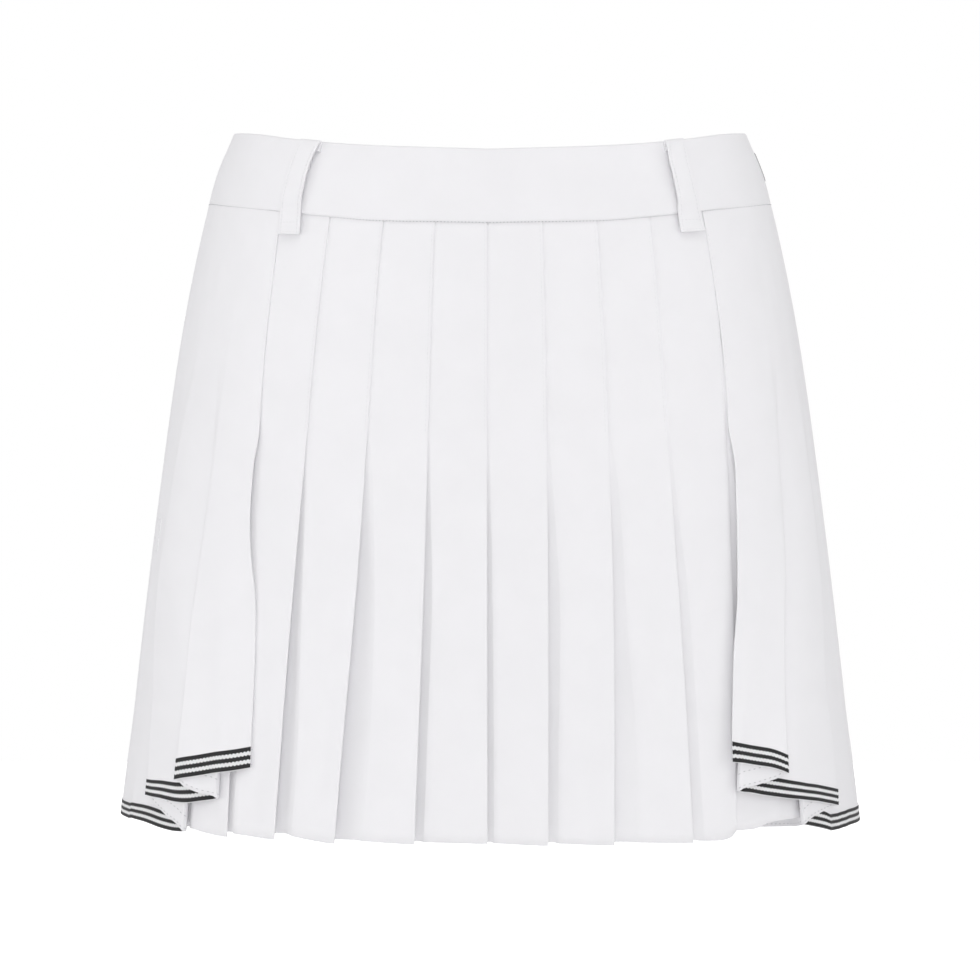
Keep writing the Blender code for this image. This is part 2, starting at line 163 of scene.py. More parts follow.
@dataclass(frozen=True)
class BodyForm:
    """The hollow oval that the skirt is filled out to."""

    sections: SmoothTable = SmoothTable(
        ("height", "half_width", "front_depth", "back_depth"),
        (
            (50.0, 142.5, 101.5, 99.0),
            (37.1, 146.4, 104.5, 102.0),
            (10.7, 156.7, 113.5, 111.0),
            (-23.8, 165.6, 120.5, 120.0),
            (-81.2, 176.8, 129.5, 133.0),
            (-173.1, 189.7, 139.5, 145.0),
            (-265.0, 200.6, 148.5, 154.0),
            (-355.0, 210.0, 156.5, 162.0),
            (-385.0, 213.0, 159.0, 165.0),
        ),
    )
    band_edges: SmoothTable = SmoothTable(
        ("angle", "waist", "seam"),
        (
            (0.0, 18.8, -21.6),
            (20.0, 21.0, -20.2),
            (33.0, 23.6, -17.0),
            (46.0, 27.4, -12.8),
            (62.0, 32.4, -8.4),
            (79.0, 35.6, -4.6),
            (90.0, 37.0, -3.5),
            (135.0, 36.0, -3.0),
            (180.0, 35.0, -3.0),
        ),
    )
    tuck_in: float = 1.4

    def points(self, angle: Array, height: Array, out: Array) -> Array:
        """Place points on the form.

        Args:
            angle: degrees round the body.
            height: millimetres up.
            out: millimetres out from the form.

        Returns:
            Points in millimetres, with x, y and z in the last axis.
        """
        angle, height, out = np.broadcast_arrays(angle, height, out)
        side, front = np.sin(np.radians(angle)), np.cos(np.radians(angle))
        width = self.sections.read("half_width", height)
        fore = self.sections.read("front_depth", height)
        rear = self.sections.read("back_depth", height)
        depth = np.where(front > 0, fore, rear)
        normal = np.hypot(depth * side, width * front)
        x = width * side + out * depth * side / normal
        y = -(depth * front + out * width * front / normal)
        return np.stack((x, y, height * np.ones_like(x)), axis=-1)

    def waist(self, angle: Array | float) -> Array:
        """Return the height of the waistband's upper edge at an angle."""
        return self.band_edges.read("waist", 180.0 - np.abs(180.0 - np.abs(angle)))

    def seam(self, angle: Array | float) -> Array:
        """Return the height of the waistband's lower seam at an angle."""
        return self.band_edges.read("seam", 180.0 - np.abs(180.0 - np.abs(angle)))

    def top(self, angle: Array | float) -> Array:
        """Return the height to which a panel reaches up behind the band at an angle."""
        return self.seam(angle) + self.tuck_in


FORM = BodyForm()


def soften(columns: list[Array], shares: list[float], reach: float) -> Array:
    """Join columns of points into a grid, and round its folds into small arcs.

    Args:
        columns: each column's points.
        shares: how far each one lies along its stretch of cloth, 0 or 1 at a fold.
        reach: how far an arc reaches from its fold.

    Returns:
        Rows and columns of points.
    """
    most, steps = 0.46, 4
    parts = []
    for index, (here, share) in enumerate(zip(columns, shares)):
        if share not in (0.0, 1.0) or index in (0, len(columns) - 1):
            parts.append(here)
            continue
        before, after = columns[index - 1] - here, columns[index + 1] - here
        near = np.linalg.norm(before, axis=-1, keepdims=True)
        far = np.linalg.norm(after, axis=-1, keepdims=True)
        size = np.minimum(reach, most * np.minimum(near, far))
        start = here + before / np.maximum(near, TINY) * size
        end = here + after / np.maximum(far, TINY) * size
        for step in range(steps + 1):
            t = step / steps
            parts.append((1 - t) ** 2 * start + 2 * t * (1 - t) * here + t**2 * end)
    return np.stack(parts, axis=1)


def moved_out(grid: Array, distance: float) -> Array:
    """Offset each row sideways in plan.

    Args:
        grid: rows and columns of points.
        distance: millimetres, to the left of each row's direction.

    Returns:
        The offset grid.
    """
    along = np.gradient(grid[..., :2], axis=1)
    along /= np.maximum(np.linalg.norm(along, axis=-1, keepdims=True), TINY)
    result = grid.copy()
    result[..., 0] -= along[..., 1] * distance
    result[..., 1] += along[..., 0] * distance
    return result


def relax(grid: Array, weight: Array, rounds: int) -> Array:
    """Smooth each row of a grid along itself.

    Args:
        grid: rows and columns of points.
        weight: strength for each point, 0 to 1.
        rounds: number of passes.

    Returns:
        The smoothed grid, with its side edges kept.
    """
    result = grid.copy()
    for _ in range(rounds):
        middle = (result[:, :-2] + result[:, 2:]) / 2 - result[:, 1:-1]
        result[:, 1:-1] += 0.5 * weight[:, 1:-1, None] * middle
    return result


class Tree:
    """A small helper that adds and links shader or geometry nodes."""

    def __init__(self, tree: bpy.types.NodeTree) -> None:
        """Keep the tree and clear it."""
        self.tree = tree
        tree.nodes.clear()

    def add(self, kind: str, settings: dict | None = None, **inputs: object) -> bpy.types.Node:
        """Add a node.

        Args:
            kind: the node's type.
            settings: values set on the node itself.
            inputs: as for fill.

        Returns:
            The new node.
        """
        node = self.tree.nodes.new(kind)
        for key, value in (settings or {}).items():
            setattr(node, key, value)
        self.fill(node, **inputs)
        return node

    def fill(self, node: bpy.types.Node, **inputs: object) -> None:
        """Link or set a node's inputs.

        Args:
            node: the node.
            inputs: values, or sockets to link from, by the input's name with
                its spaces written as underscores.
        """
        for key, value in inputs.items():
            name = key.replace("_", " ")
            self.put(next(s for s in node.inputs if s.name == name and s.enabled), value)

    def put(self, socket: Socket, value: object) -> None:
        """Link or set one input.

        Args:
            socket: the input.
            value: a value, or a socket to link from.
        """
        if isinstance(value, Socket):
            self.tree.links.new(value, socket)
        else:
            socket.default_value = value

    def math(self, operation: str, *values: object) -> Socket:
        """Add a Math node.

        Args:
            operation: the node's operation.
            values: its inputs in order.

        Returns:
            Its result.
        """
        node = self.add("ShaderNodeMath", {"operation": operation})
        for socket, value in zip(node.inputs, values):
            self.put(socket, value)
        return node.outputs[0]

    def clamp(self, value: Socket, low: float, high: float) -> Socket:
        """Return a value held between two limits."""
        return self.math("MINIMUM", self.math("MAXIMUM", value, low), high)

    def wave(self, value: Socket, pitch: float) -> Socket:
        """Return a sine wave with the given pitch."""
        return self.math("SINE", self.math("MULTIPLY", value, 2.0 * math.pi / pitch))

    def seen(self) -> Socket:
        """Return 1 on rays from the camera and in glossy reflections."""
        path = self.add("ShaderNodeLightPath")
        return self.math("MAXIMUM", path.outputs["Is Camera Ray"], path.outputs["Is Glossy Ray"])

    def scaled(self, color: Socket, by: Socket) -> Socket:
        """Return a colour multiplied by a factor."""
        kind = {"operation": "SCALE"}
        return self.add("ShaderNodeVectorMath", kind, Vector=color, Scale=by).outputs[0]

    def ramp(
        self, fac: Socket, color: Color, dim: float, ends: Pair = (0.0, 1.0)
    ) -> Socket:
        """Add a ramp from a dimmed colour to the full one.

        Args:
            fac: the ramp's factor.
            color: the full colour.
            dim: the share of it at the low end.
            ends: positions of the low and the high end.

        Returns:
            The ramp's colour.
        """
        node = self.add("ShaderNodeValToRGB", Fac=fac)
        for stop, share, position in zip(node.color_ramp.elements, (dim, 1.0), ends):
            stop.color = (*(value * share for value in color), 1.0)
            stop.position = position
        return node.outputs[0]


@dataclass(frozen=True)
class Finish:
    """A finish; each kind says how its shader is filled in."""

    name: str
    roughness: float

    def make(self) -> bpy.types.Material:
        """Build the material.

        Returns:
            The material.
        """
        material = bpy.data.materials.new(self.name)
        material.use_nodes = True
        tree = Tree(material.node_tree)
        shader = tree.add("ShaderNodeBsdfPrincipled", Roughness=self.roughness)
        self.dress(tree, shader)
        tree.add("ShaderNodeOutputMaterial", Surface=shader.outputs[0])
        return material

    def dress(self, tree: Tree, shader: bpy.types.Node) -> None:
        """Fill in the shader."""
        raise NotImplementedError


@dataclass(frozen=True)
class ClothFinish(Finish):
    """Fine plain-woven stretch cloth."""

    name: str = "white_cloth_weave"
    roughness: float = 0.82
    color: Color = (0.878, 0.871, 0.893)
    pitch: float = 0.5
    relief: float = 0.1
    relief_depth: float = 0.00012
    weave_shade: float = 0.012
    cloud_shade: float = 0.985

    def dress(self, tree: Tree, shader: bpy.types.Node) -> None:
        """Weave the cloth on the piece's own measured UV map.

        Args:
            tree: the material's tree.
            shader: its shader.
        """
        uv = tree.add("ShaderNodeUVMap", {"uv_map": UV_NAME}).outputs[0]
        axes = tree.add("ShaderNodeSeparateXYZ", Vector=uv).outputs
        weave = tree.math("MULTIPLY", *(tree.wave(axis, self.pitch) for axis in axes[:2]))
        slub = tree.add("ShaderNodeTexNoise", Vector=uv, Scale=0.9, Detail=3.0)
        cloud = tree.add("ShaderNodeTexNoise", Vector=uv, Scale=0.035, Detail=2.0)
        height = tree.math("ADD", tree.math("MULTIPLY", weave, 0.5), slub.outputs[0])
        bump = tree.add(
            "ShaderNodeBump", Strength=self.relief, Distance=self.relief_depth, Height=height
        )
        tint = tree.ramp(cloud.outputs[0], self.color, self.cloud_shade, (0.35, 0.65))
        shade = tree.math("MULTIPLY_ADD", weave, self.weave_shade, 1.0 - self.weave_shade)
        tree.fill(
            shader, Base_Color=tree.scaled(tint, shade), Normal=bump.outputs[0],
            Sheen_Weight=0.08, Sheen_Roughness=0.6, Specular_IOR_Level=0.25,
        )


@dataclass(frozen=True)
class RibbonFinish(Finish):
    """Grosgrain ribbon with three dark stripes on white, toothed where they meet."""

    name: str = "grosgrain_stripes"
    roughness: float = 0.7
    white: Color = (0.87, 0.87, 0.88)
    dark: Color = (0.02, 0.02, 0.021)
    first: float = 1.3
    pitch: float = 4.15
    half: float = 1.17
    sharpness: float = 9.0
    tooth: float = 0.2
    tooth_pitch: float = 2.1
    tooth_slope: float = 2.0
    rib_pitch: float = 0.6
    rib_shade: float = 0.06

    def dress(self, tree: Tree, shader: bpy.types.Node) -> None:
        """Stripe the ribbon; v runs up it from its lower edge.

        Args:
            tree: the material's tree.
            shader: its shader.
        """
        uv = tree.add("ShaderNodeUVMap", {"uv_map": UV_NAME})
        along, up = tree.add("ShaderNodeSeparateXYZ", Vector=uv.outputs[0]).outputs[:2]
        shifted = tree.math("ADD", up, self.pitch / 2 - self.first)
        cell = tree.math("SUBTRACT", tree.math("WRAP", shifted, self.pitch, 0.0), self.pitch / 2)
        below = tree.math("LESS_THAN", up, self.first)
        above = tree.math("GREATER_THAN", up, self.first + 2 * self.pitch)
        inner = tree.math("SUBTRACT", 1.0, tree.math("ADD", below, above))
        steep = tree.math("MULTIPLY", tree.wave(along, self.tooth_pitch), self.tooth_slope)
        teeth = tree.math("MULTIPLY", tree.clamp(steep, -1.0, 1.0), self.tooth)
        away = tree.math("ABSOLUTE", tree.math("ADD", cell, tree.math("MULTIPLY", teeth, inner)))
        edge = tree.math("MULTIPLY", tree.math("SUBTRACT", self.half, away), self.sharpness)
        mix = tree.add("ShaderNodeMix", {"data_type": "RGBA"}, Factor=tree.clamp(edge, 0.0, 1.0))
        colors = [socket for socket in mix.inputs if socket.type == "RGBA"]
        for socket, color in zip(colors, (self.white, self.dark)):
            tree.put(socket, (*color, 1.0))
        striped = next(socket for socket in mix.outputs if socket.type == "RGBA")
        rib = tree.wave(along, self.rib_pitch)
        grain = tree.math("MULTIPLY_ADD", rib, self.rib_shade, 1.0 - self.rib_shade)
        bump = tree.add("ShaderNodeBump", Strength=0.35, Distance=0.0002, Height=rib)
        tree.fill(
            shader, Base_Color=tree.scaled(striped, grain), Normal=bump.outputs[0],
            Specular_IOR_Level=0.25,
        )


@dataclass(frozen=True)
class ThreadFinish(Finish):
    """Twisted sewing thread."""

    name: str = "white_thread"
    roughness: float = 0.6
    color: Color = (0.8, 0.8, 0.82)

    def dress(self, tree: Tree, shader: bpy.types.Node) -> None:
        """Give the thread its twist.

        Args:
            tree: the material's tree.
            shader: its shader.
        """
        place = tree.add("ShaderNodeTexCoord").outputs["Object"]
        twist = tree.add("ShaderNodeTexWave", Vector=place, Scale=900.0, Distortion=1.5)
        tree.fill(shader, Base_Color=tree.ramp(twist.outputs[0], self.color, 0.88))


@dataclass(frozen=True)
class PlateFinish(Finish):
    """Satin grey metal with a faint brushed grain."""

    name: str = "satin_plate"
    roughness: float = 0.28
    color: Color = (0.2, 0.2, 0.21)
    grain: Color = (400.0, 400.0, 6000.0)

    def dress(self, tree: Tree, shader: bpy.types.Node) -> None:
        """Brush the metal.

        Args:
            tree: the material's tree.
            shader: its shader.
        """
        place = tree.add("ShaderNodeTexCoord").outputs["Object"]
        stretch = tree.add("ShaderNodeMapping", Vector=place, Scale=self.grain).outputs[0]
        grain = tree.add("ShaderNodeTexNoise", Vector=stretch, Scale=1.0, Detail=2.0).outputs[0]
        rough = tree.math("MULTIPLY_ADD", grain, 0.2, self.roughness)
        tint = tree.ramp(grain, self.color, 0.9)
        tree.fill(shader, Metallic=0.9, Base_Color=tint, Roughness=rough)


@dataclass
class Wardrobe:
    """The finishes, made once and shared by the pieces."""

    cloth: bpy.types.Material = field(default_factory=ClothFinish().make)
    ribbon: bpy.types.Material = field(default_factory=RibbonFinish().make)
    plate: bpy.types.Material = field(default_factory=PlateFinish().make)
    thread: bpy.types.Material = field(default_factory=ThreadFinish().make)
    # Painted shade: this thread is coloured darker than the white thread to stand for the shade that
    # the waist-seam and hem stitches lie in.
    shade_painted_thread: bpy.types.Material = field(
        default_factory=ThreadFinish("shade_painted_thread", color=(0.5, 0.5, 0.52)).make
    )

    def of(self, slot: Slot) -> bpy.types.Material:
        """Return the finish of a slot."""
        return {Slot.CLOTH: self.cloth, Slot.RIBBON: self.ribbon, Slot.PLATE: self.plate}[slot]


def linked(name: str, data: bpy.types.ID) -> bpy.types.Object:
    """Put a mesh, a lamp or a camera into the scene.

    Args:
        name: the object's name.
        data: what it holds.

    Returns:
        The object, at the origin.
    """
    item = bpy.data.objects.new(name, data)
    bpy.context.scene.collection.objects.link(item)
    return item


@dataclass(kw_only=True)
class Piece:
    """A thin piece with a wall, made from a grid of points in millimetres.

    Its bevel is a share of its wall.
    """

    name: str
    node: str
    wall: float
    slot: Slot = Slot.CLOTH
    bevel: float = 0.12
    bevel_segments: int = 1
    bevel_angle: float = 60.0
    quality_normals: bool = True

    def grid(self) -> Array:
        """Return the rows and columns of points that the piece is made from."""
        raise NotImplementedError

    def mapped(self, mesh: bpy.types.Mesh, grid: Array) -> None:
        """Give the mesh a UV map, where its finish needs one."""

    def declared(self, piece: bpy.types.Object, grid: Array) -> None:
        """Report the piece."""
        LOG.info("%s: %d points", self.name, grid[..., 0].size)

    def build(self, wardrobe: Wardrobe) -> bpy.types.Object:
        """Make the mesh, its wall and its bevelled edges.

        Args:
            wardrobe: the shared finishes.

        Returns:
            The finished piece.
        """
        grid = self.grid()
        index = np.arange(grid[..., 0].size).reshape(grid.shape[:2])
        corners = (index[:-1, :-1], index[1:, :-1], index[1:, 1:], index[:-1, 1:])
        quads = np.stack(corners, axis=-1).reshape(-1, 4)
        mesh = bpy.data.meshes.new(self.name)
        mesh.from_pydata((grid.reshape(-1, 3) * MM).tolist(), [], quads.tolist())
        self.mapped(mesh, grid)
        mesh.shade_smooth()
        mesh.materials.append(wardrobe.of(self.slot))
        piece = linked(self.name, mesh)
        wall = piece.modifiers.new("Wall", "SOLIDIFY")
        wall.thickness = self.wall * MM
        wall.offset = 0.0
        wall.use_even_offset = True
        wall.use_quality_normals = self.quality_normals
        edges = piece.modifiers.new("Edges", "BEVEL")
        edges.width = self.bevel * self.wall * MM
        edges.segments = self.bevel_segments
        edges.limit_method = "ANGLE"
        edges.angle_limit = math.radians(self.bevel_angle)
        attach(piece, "root")
        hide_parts(self.node)
        self.declared(piece, grid)
        return piece


@dataclass(kw_only=True)
class Sheet(Piece):
    """A piece of cloth with its flat cut, in metres."""

    flat: Pair
    hold: Hold
    area: float | None = None
    height: float | None = None
    flip_v: bool = False
    thread_out: float = 0.02

    def stitch_lines(self) -> list[Array]:
        """Return the lines along which the piece is sewn."""
        return []

    def mapped(self, mesh: bpy.types.Mesh, grid: Array) -> None:
        """Map u along the columns and v along the rows, in millimetres.

        Args:
            mesh: the piece's mesh.
            grid: its points.
        """
        across = np.linalg.norm(np.diff(grid, axis=1), axis=-1).mean(axis=0)
        down = np.linalg.norm(np.diff(grid, axis=0), axis=-1).mean(axis=1)
        u = np.concatenate(([0.0], np.cumsum(across)))
        v = np.concatenate(([0.0], np.cumsum(down)))
        v = v if self.height is None else v * self.height / v[-1]
        v = v[-1] - v if self.flip_v else v
        spots = np.stack(np.meshgrid(u, v), axis=-1).reshape(-1, 2)
        layer = mesh.uv_layers.new(name=UV_NAME)
        corners = np.empty(len(mesh.loops), dtype=np.int32)
        mesh.loops.foreach_get("vertex_index", corners)
        layer.data.foreach_set("uv", spots[corners].astype(np.float32).ravel())

    def declared(self, piece: bpy.types.Object, grid: Array) -> None:
        """Args:
            piece: the finished piece.
            grid: its points.
        """
        across = np.linalg.norm(np.diff(grid, axis=1)[:-1], axis=-1)
        down = np.linalg.norm(np.diff(grid, axis=0)[:, :-1], axis=-1)
        cloth = (across * down).sum() * MM**2
        LOG.info("%s: %d points, %.4f m2 of cloth", self.name, grid[..., 0].size, cloth)


@dataclass(frozen=True)
class Pleat:
    """One knife pleat: its fold edge, its hem, and how the cloth stands beside it."""

    seam_angle: float
    middle_angle: float
    hem_angle: float
    hem: float
    rest: float
    lift: float
    gape_high: float
    gape_mid: float
    gape_low: float
    release: float = -135.0
    curl_span: Pair = (300.0, 326.0)
    lift_span: Pair = (129.0, 300.0)
    sink_span: Pair = (135.0, 200.0)
    most_sunk: float = 2.2

    def edge(self, height: Array) -> Array:
        """Return the fold edge's angle at each height."""
        rows = ((-355.0, self.hem_angle), (-190.0, self.middle_angle), (SEAM_LEVEL, self.seam_angle))
        return smooth(rows, height)

    def raised(self, height: Array) -> Array:
        """Return how far the fold edge stands open, or curls in.

        Args:
            height: heights along the edge.

        Returns:
            Millimetres out, negative where it curls in.
        """
        if self.lift < 0.0:
            return self.lift * ease(*self.curl_span, -height)
        return self.lift * ease(*self.lift_span, -height) ** 0.8

    def gape(self, height: Array) -> Array:
        """Return the width over which the cloth rises beside the fold edge.

        Args:
            height: heights along the edge.

        Returns:
            Widths in millimetres.
        """
        low = ((-358.0, self.gape_low), (-325.0, self.gape_low), (-240.0, self.gape_mid))
        high = ((-165.0, self.gape_high), (self.release, 1.4), (SEAM_LEVEL, 1.2))
        return smooth(low + high, height)

    def sunk(self, height: Array) -> Array:
        """Return how far the hidden fold lies below its pressed place."""
        deep = np.minimum(0.35 + 0.17 * self.gape(height), self.most_sunk)
        return ease(*self.sink_span, -height) * np.maximum(deep, 0.5 - self.raised(height))


@dataclass(kw_only=True)
class PleatedFront(Sheet):
    """The knife-pleated front panel.

    Its hems are tables of angle and height for the corners that aren't straight,
    and its marks are the shares at which a panel's tuck and rise end.
    """

    name: str = "pleated_front"
    node: str = "front_panel"
    wall: float = 0.3
    flat: Pair = (0.82, 0.345)
    hold: Hold = Hold.FOLDED
    pleats: tuple[Pleat, ...] = (
        Pleat(-54.5, -54.0, -53.3, -354.2, -351.8, 0.0, 0.6, 1.4, 2.2),
        Pleat(-46.8, -45.2, -43.2, -356.4, -353.8, 0.6, 0.6, 2.6, 3.7),
        Pleat(-32.6, -33.0, -33.6, -356.2, -353.2, 2.4, 2.2, 5.5, 8.6),
        Pleat(-20.9, -21.4, -23.3, -357.2, -355.4, 3.0, 4.9, 11.0, 14.4),
        Pleat(-10.6, -10.5, -11.1, -356.8, -355.4, 2.0, 2.2, 5.0, 5.0),
        Pleat(-0.6, -0.5, -0.4, -356.3, -355.5, 1.4, 2.0, 3.3, 3.7),
        Pleat(9.9, 9.3, 8.5, -357.4, -355.9, 1.8, 3.3, 7.0, 5.8),
        Pleat(20.7, 20.0, 18.4, -357.8, -356.4, 2.4, 4.9, 8.4, 14.4),
        Pleat(32.2, 31.5, 31.4, -357.8, -356.2, 2.0, 2.7, 6.6, 7.1),
        Pleat(47.6, 43.6, 40.1, -352.8, -352.8, -1.3, 4.0, 12.0, 26.0),
        Pleat(58.5, 57.0, 56.0, -348.0, -347.0, -1.6, 1.0, 3.0, 3.0),
    )
    corner_hem: Rows = (
        (31.5, -356.2), (33.0, -357.1), (36.9, -357.4), (38.5, -356.6), (39.5, -355.2),
        (39.9, -353.6), (40.1, -352.8),
    )
    left_hem: Rows = (
        (40.1, -352.8), (44.0, -352.6), (45.2, -352.0), (46.2, -350.6), (47.6, -349.2),
        (49.3, -348.6), (52.4, -348.3), (56.0, -348.0),
    )
    side_hem: float = -343.0
    end: float = 85.0
    depth: float = 4.6
    outer: float = -1.25
    tight: float = 0.32
    loose: float = 0.26
    loose_span: Pair = (135.0, 330.0)
    marks: tuple[float, ...] = (0.0, 0.12, 0.55, 1.0)
    first_slope: float = 0.3
    side_corner: Pair = (0.88, -349.0)
    hem_level: float = -352.0
    ripple: float = 0.2
    ripple_turns: Pair = (0.9, 0.012)
    ripple_span: Pair = (150.0, 340.0)
    fold_radius: float = 0.6
    stitch_inset: float = 0.42
    rows: int = 64

    def layer(self, height: Array) -> Array:
        """Return the pitch of the folded layers at each height."""
        return self.tight + self.loose * ease(*self.loose_span, -height)

    def panel(self, number: int, share: float, height: Array) -> tuple[Array, Array]:
        """Place a column between one pleat's tuck and the next fold edge.

        Args:
            number: the pleat whose fold edge ends this panel.
            share: 0 at the tuck behind the last pleat, 1 at the fold edge.
            height: heights of the column.

        Returns:
            Angles and distances out.
        """
        if number == 0:
            edge = self.pleats[0].edge(height)
            return -self.end + (edge + self.end) * share, np.full_like(height, self.outer)
        last = self.pleats[number - 1]
        before = last.edge(height)
        width = FORM.sections.read("half_width", height)
        turn = last.gape(height) / (DEGREE * width * np.cos(np.radians(before)))
        inside = number < len(self.pleats)
        goal = self.pleats[number].edge(height) if inside else self.end
        marks = self.marks
        stops = (before - self.depth, before, before + turn, goal)
        index = min(int(np.searchsorted(marks, share, side="right")), len(marks) - 1) - 1
        part = (share - marks[index]) / (marks[index + 1] - marks[index])
        angle = stops[index] + (stops[index + 1] - stops[index]) * part
        climb = np.clip((angle - before) / turn, 0.0, 1.0)
        rise = climb * (self.first_slope + (1.0 - self.first_slope) * climb)
        low = 2 * self.layer(height) + last.sunk(height)
        out = self.outer - low * (1.0 - rise)
        if inside:
            lift = self.pleats[number].raised(height)
            out = out + lift * ease(goal - self.depth, goal + 0.6, angle)
        return angle, out

    def stations(self) -> list[tuple[bool, int, float, float]]:
        """List the columns.

        Returns:
            Whether each one lies in a fold, its pleat, share and hem height.
        """
        count = len(self.pleats)
        found = [(False, 0, share, self.side_hem) for share in np.linspace(0.0, 0.78, 12)]
        found += [(False, 0, *self.side_corner), (False, 0, 1.0, self.pleats[0].hem)]
        shares = (0.0, 0.06, 0.12, 0.155, *np.linspace(0.2, 0.55, 10), *np.linspace(0.6, 1.0, 14))
        for number, pleat in enumerate(self.pleats, 1):
            hem, rest = pleat.hem, pleat.rest
            for share in (0.0, 0.2, 0.4, 0.6, 0.8, 1.0):
                found.append((True, number - 1, share, hem + (rest - hem) * share))
            goal = self.pleats[number].hem if number < count else max(rest, self.side_hem)
            for share in shares:
                hem = rest + (goal - rest) * float(ease(0.3, 1.0, np.array(share)))
                if count - 2 <= number < count:
                    angle, _ = self.panel(number, share, np.array([self.hem_level]))
                    line = self.left_hem if number == count - 1 else self.corner_hem
                    hem = float(smooth(line, angle[0]))
                found.append((False, number, share, hem))
        return found

    def column(self, folded: bool, number: int, share: float, height: Array) -> Array:
        """Place one column.

        Args:
            folded: whether it lies in the fold behind a fold edge.
            number: its pleat.
            share: how far along its stretch of cloth.
            height: its heights.

        Returns:
            Its points.
        """
        if folded:
            pleat = self.pleats[number]
            angle = pleat.edge(height) - self.depth * share
            out = self.outer - self.layer(height) + pleat.raised(height) * (1 - share)
        else:
            angle, out = self.panel(number, share, height)
        round_turn, down_turn = self.ripple_turns
        wave = self.ripple * np.sin(angle * round_turn + height * down_turn)
        return FORM.points(angle, height, out + wave * ease(*self.ripple_span, -height))

    def grid(self) -> Array:
        """Build the panel's grid with rounded folds.

        Returns:
            Rows and columns of points.
        """
        down = np.linspace(0.0, 1.0, self.rows)
        stations = self.stations()
        columns = []
        for folded, number, share, hem in stations:
            first = self.column(folded, number, share, np.array([SEAM_LEVEL]))[0]
            top = FORM.top(math.degrees(math.atan2(first[0], -first[1])))
            columns.append(self.column(folded, number, share, top + (hem - top) * down))
        return soften(columns, [station[2] for station in stations], self.fold_radius)

    def stitch_lines(self) -> list[Array]:
        """Return the edge stitching of each pleat, from the seam to its release.

        Returns:
            A line of points for each pleat.
        """
        lines = []
        for pleat in self.pleats[1:-1]:
            height = np.linspace(STITCH_TOP, pleat.release, 24)
            out = self.outer + self.wall / 2 + self.thread_out
            lines.append(FORM.points(pleat.edge(height) - self.stitch_inset, height, out))
        return lines


@dataclass(frozen=True)
class Crease:
    """A soft trough (negative depth) or ridge in hanging cloth."""

    top: float
    bottom: float
    top_angle: float
    bottom_angle: float
    width: float
    depth: float

    def out(self, angle: Array, height: Array) -> Array:
        """Return how far the crease moves the cloth out.

        Args:
            angle: degrees round the body.
            height: millimetres up.

        Returns:
            Millimetres out.
        """
        share = np.clip((self.top - height) / (self.top - self.bottom), 0.0, 1.0)
        line = self.top_angle + (self.bottom_angle - self.top_angle) * share
        fade = np.sin(np.pi * np.clip(share, 0.02, 0.98)) ** 0.7
        return self.depth * fade * np.exp(-(((angle - line) / self.width) ** 2))


@dataclass(kw_only=True)
class HemmedPanel(Sheet):
    """A hanging panel with a ribbon and two rows of stitches along its hem."""

    hold: Hold = Hold.HUNG
    side: int = 1
    base: float = 0.0
    flare: float = 1.3
    flare_span: Pair = (285.0, 345.0)
    stitch_rises: Pair = (9.4, 1.7)
    thread_out: float = 0.03

    def grid(self, rises: Array | None = None) -> Array:
        """Return the grid, or only a strip at the given heights above the hem."""
        raise NotImplementedError

    def flared(self, height: Array) -> Array:
        """Return how far the panel swings out towards its hem."""
        return self.flare * ease(*self.flare_span, -height)

    def strip(self, rises: Array, distance: float) -> Array:
        """Return a strip above the hem, moved off the cloth's right side."""
        return moved_out(self.grid(rises), -self.side * distance)

    def stitch_lines(self) -> list[Array]:
        """Return the hem's two rows of stitching on the wrong side."""
        return list(self.strip(np.array(self.stitch_rises), -(self.wall / 2 + self.thread_out)))


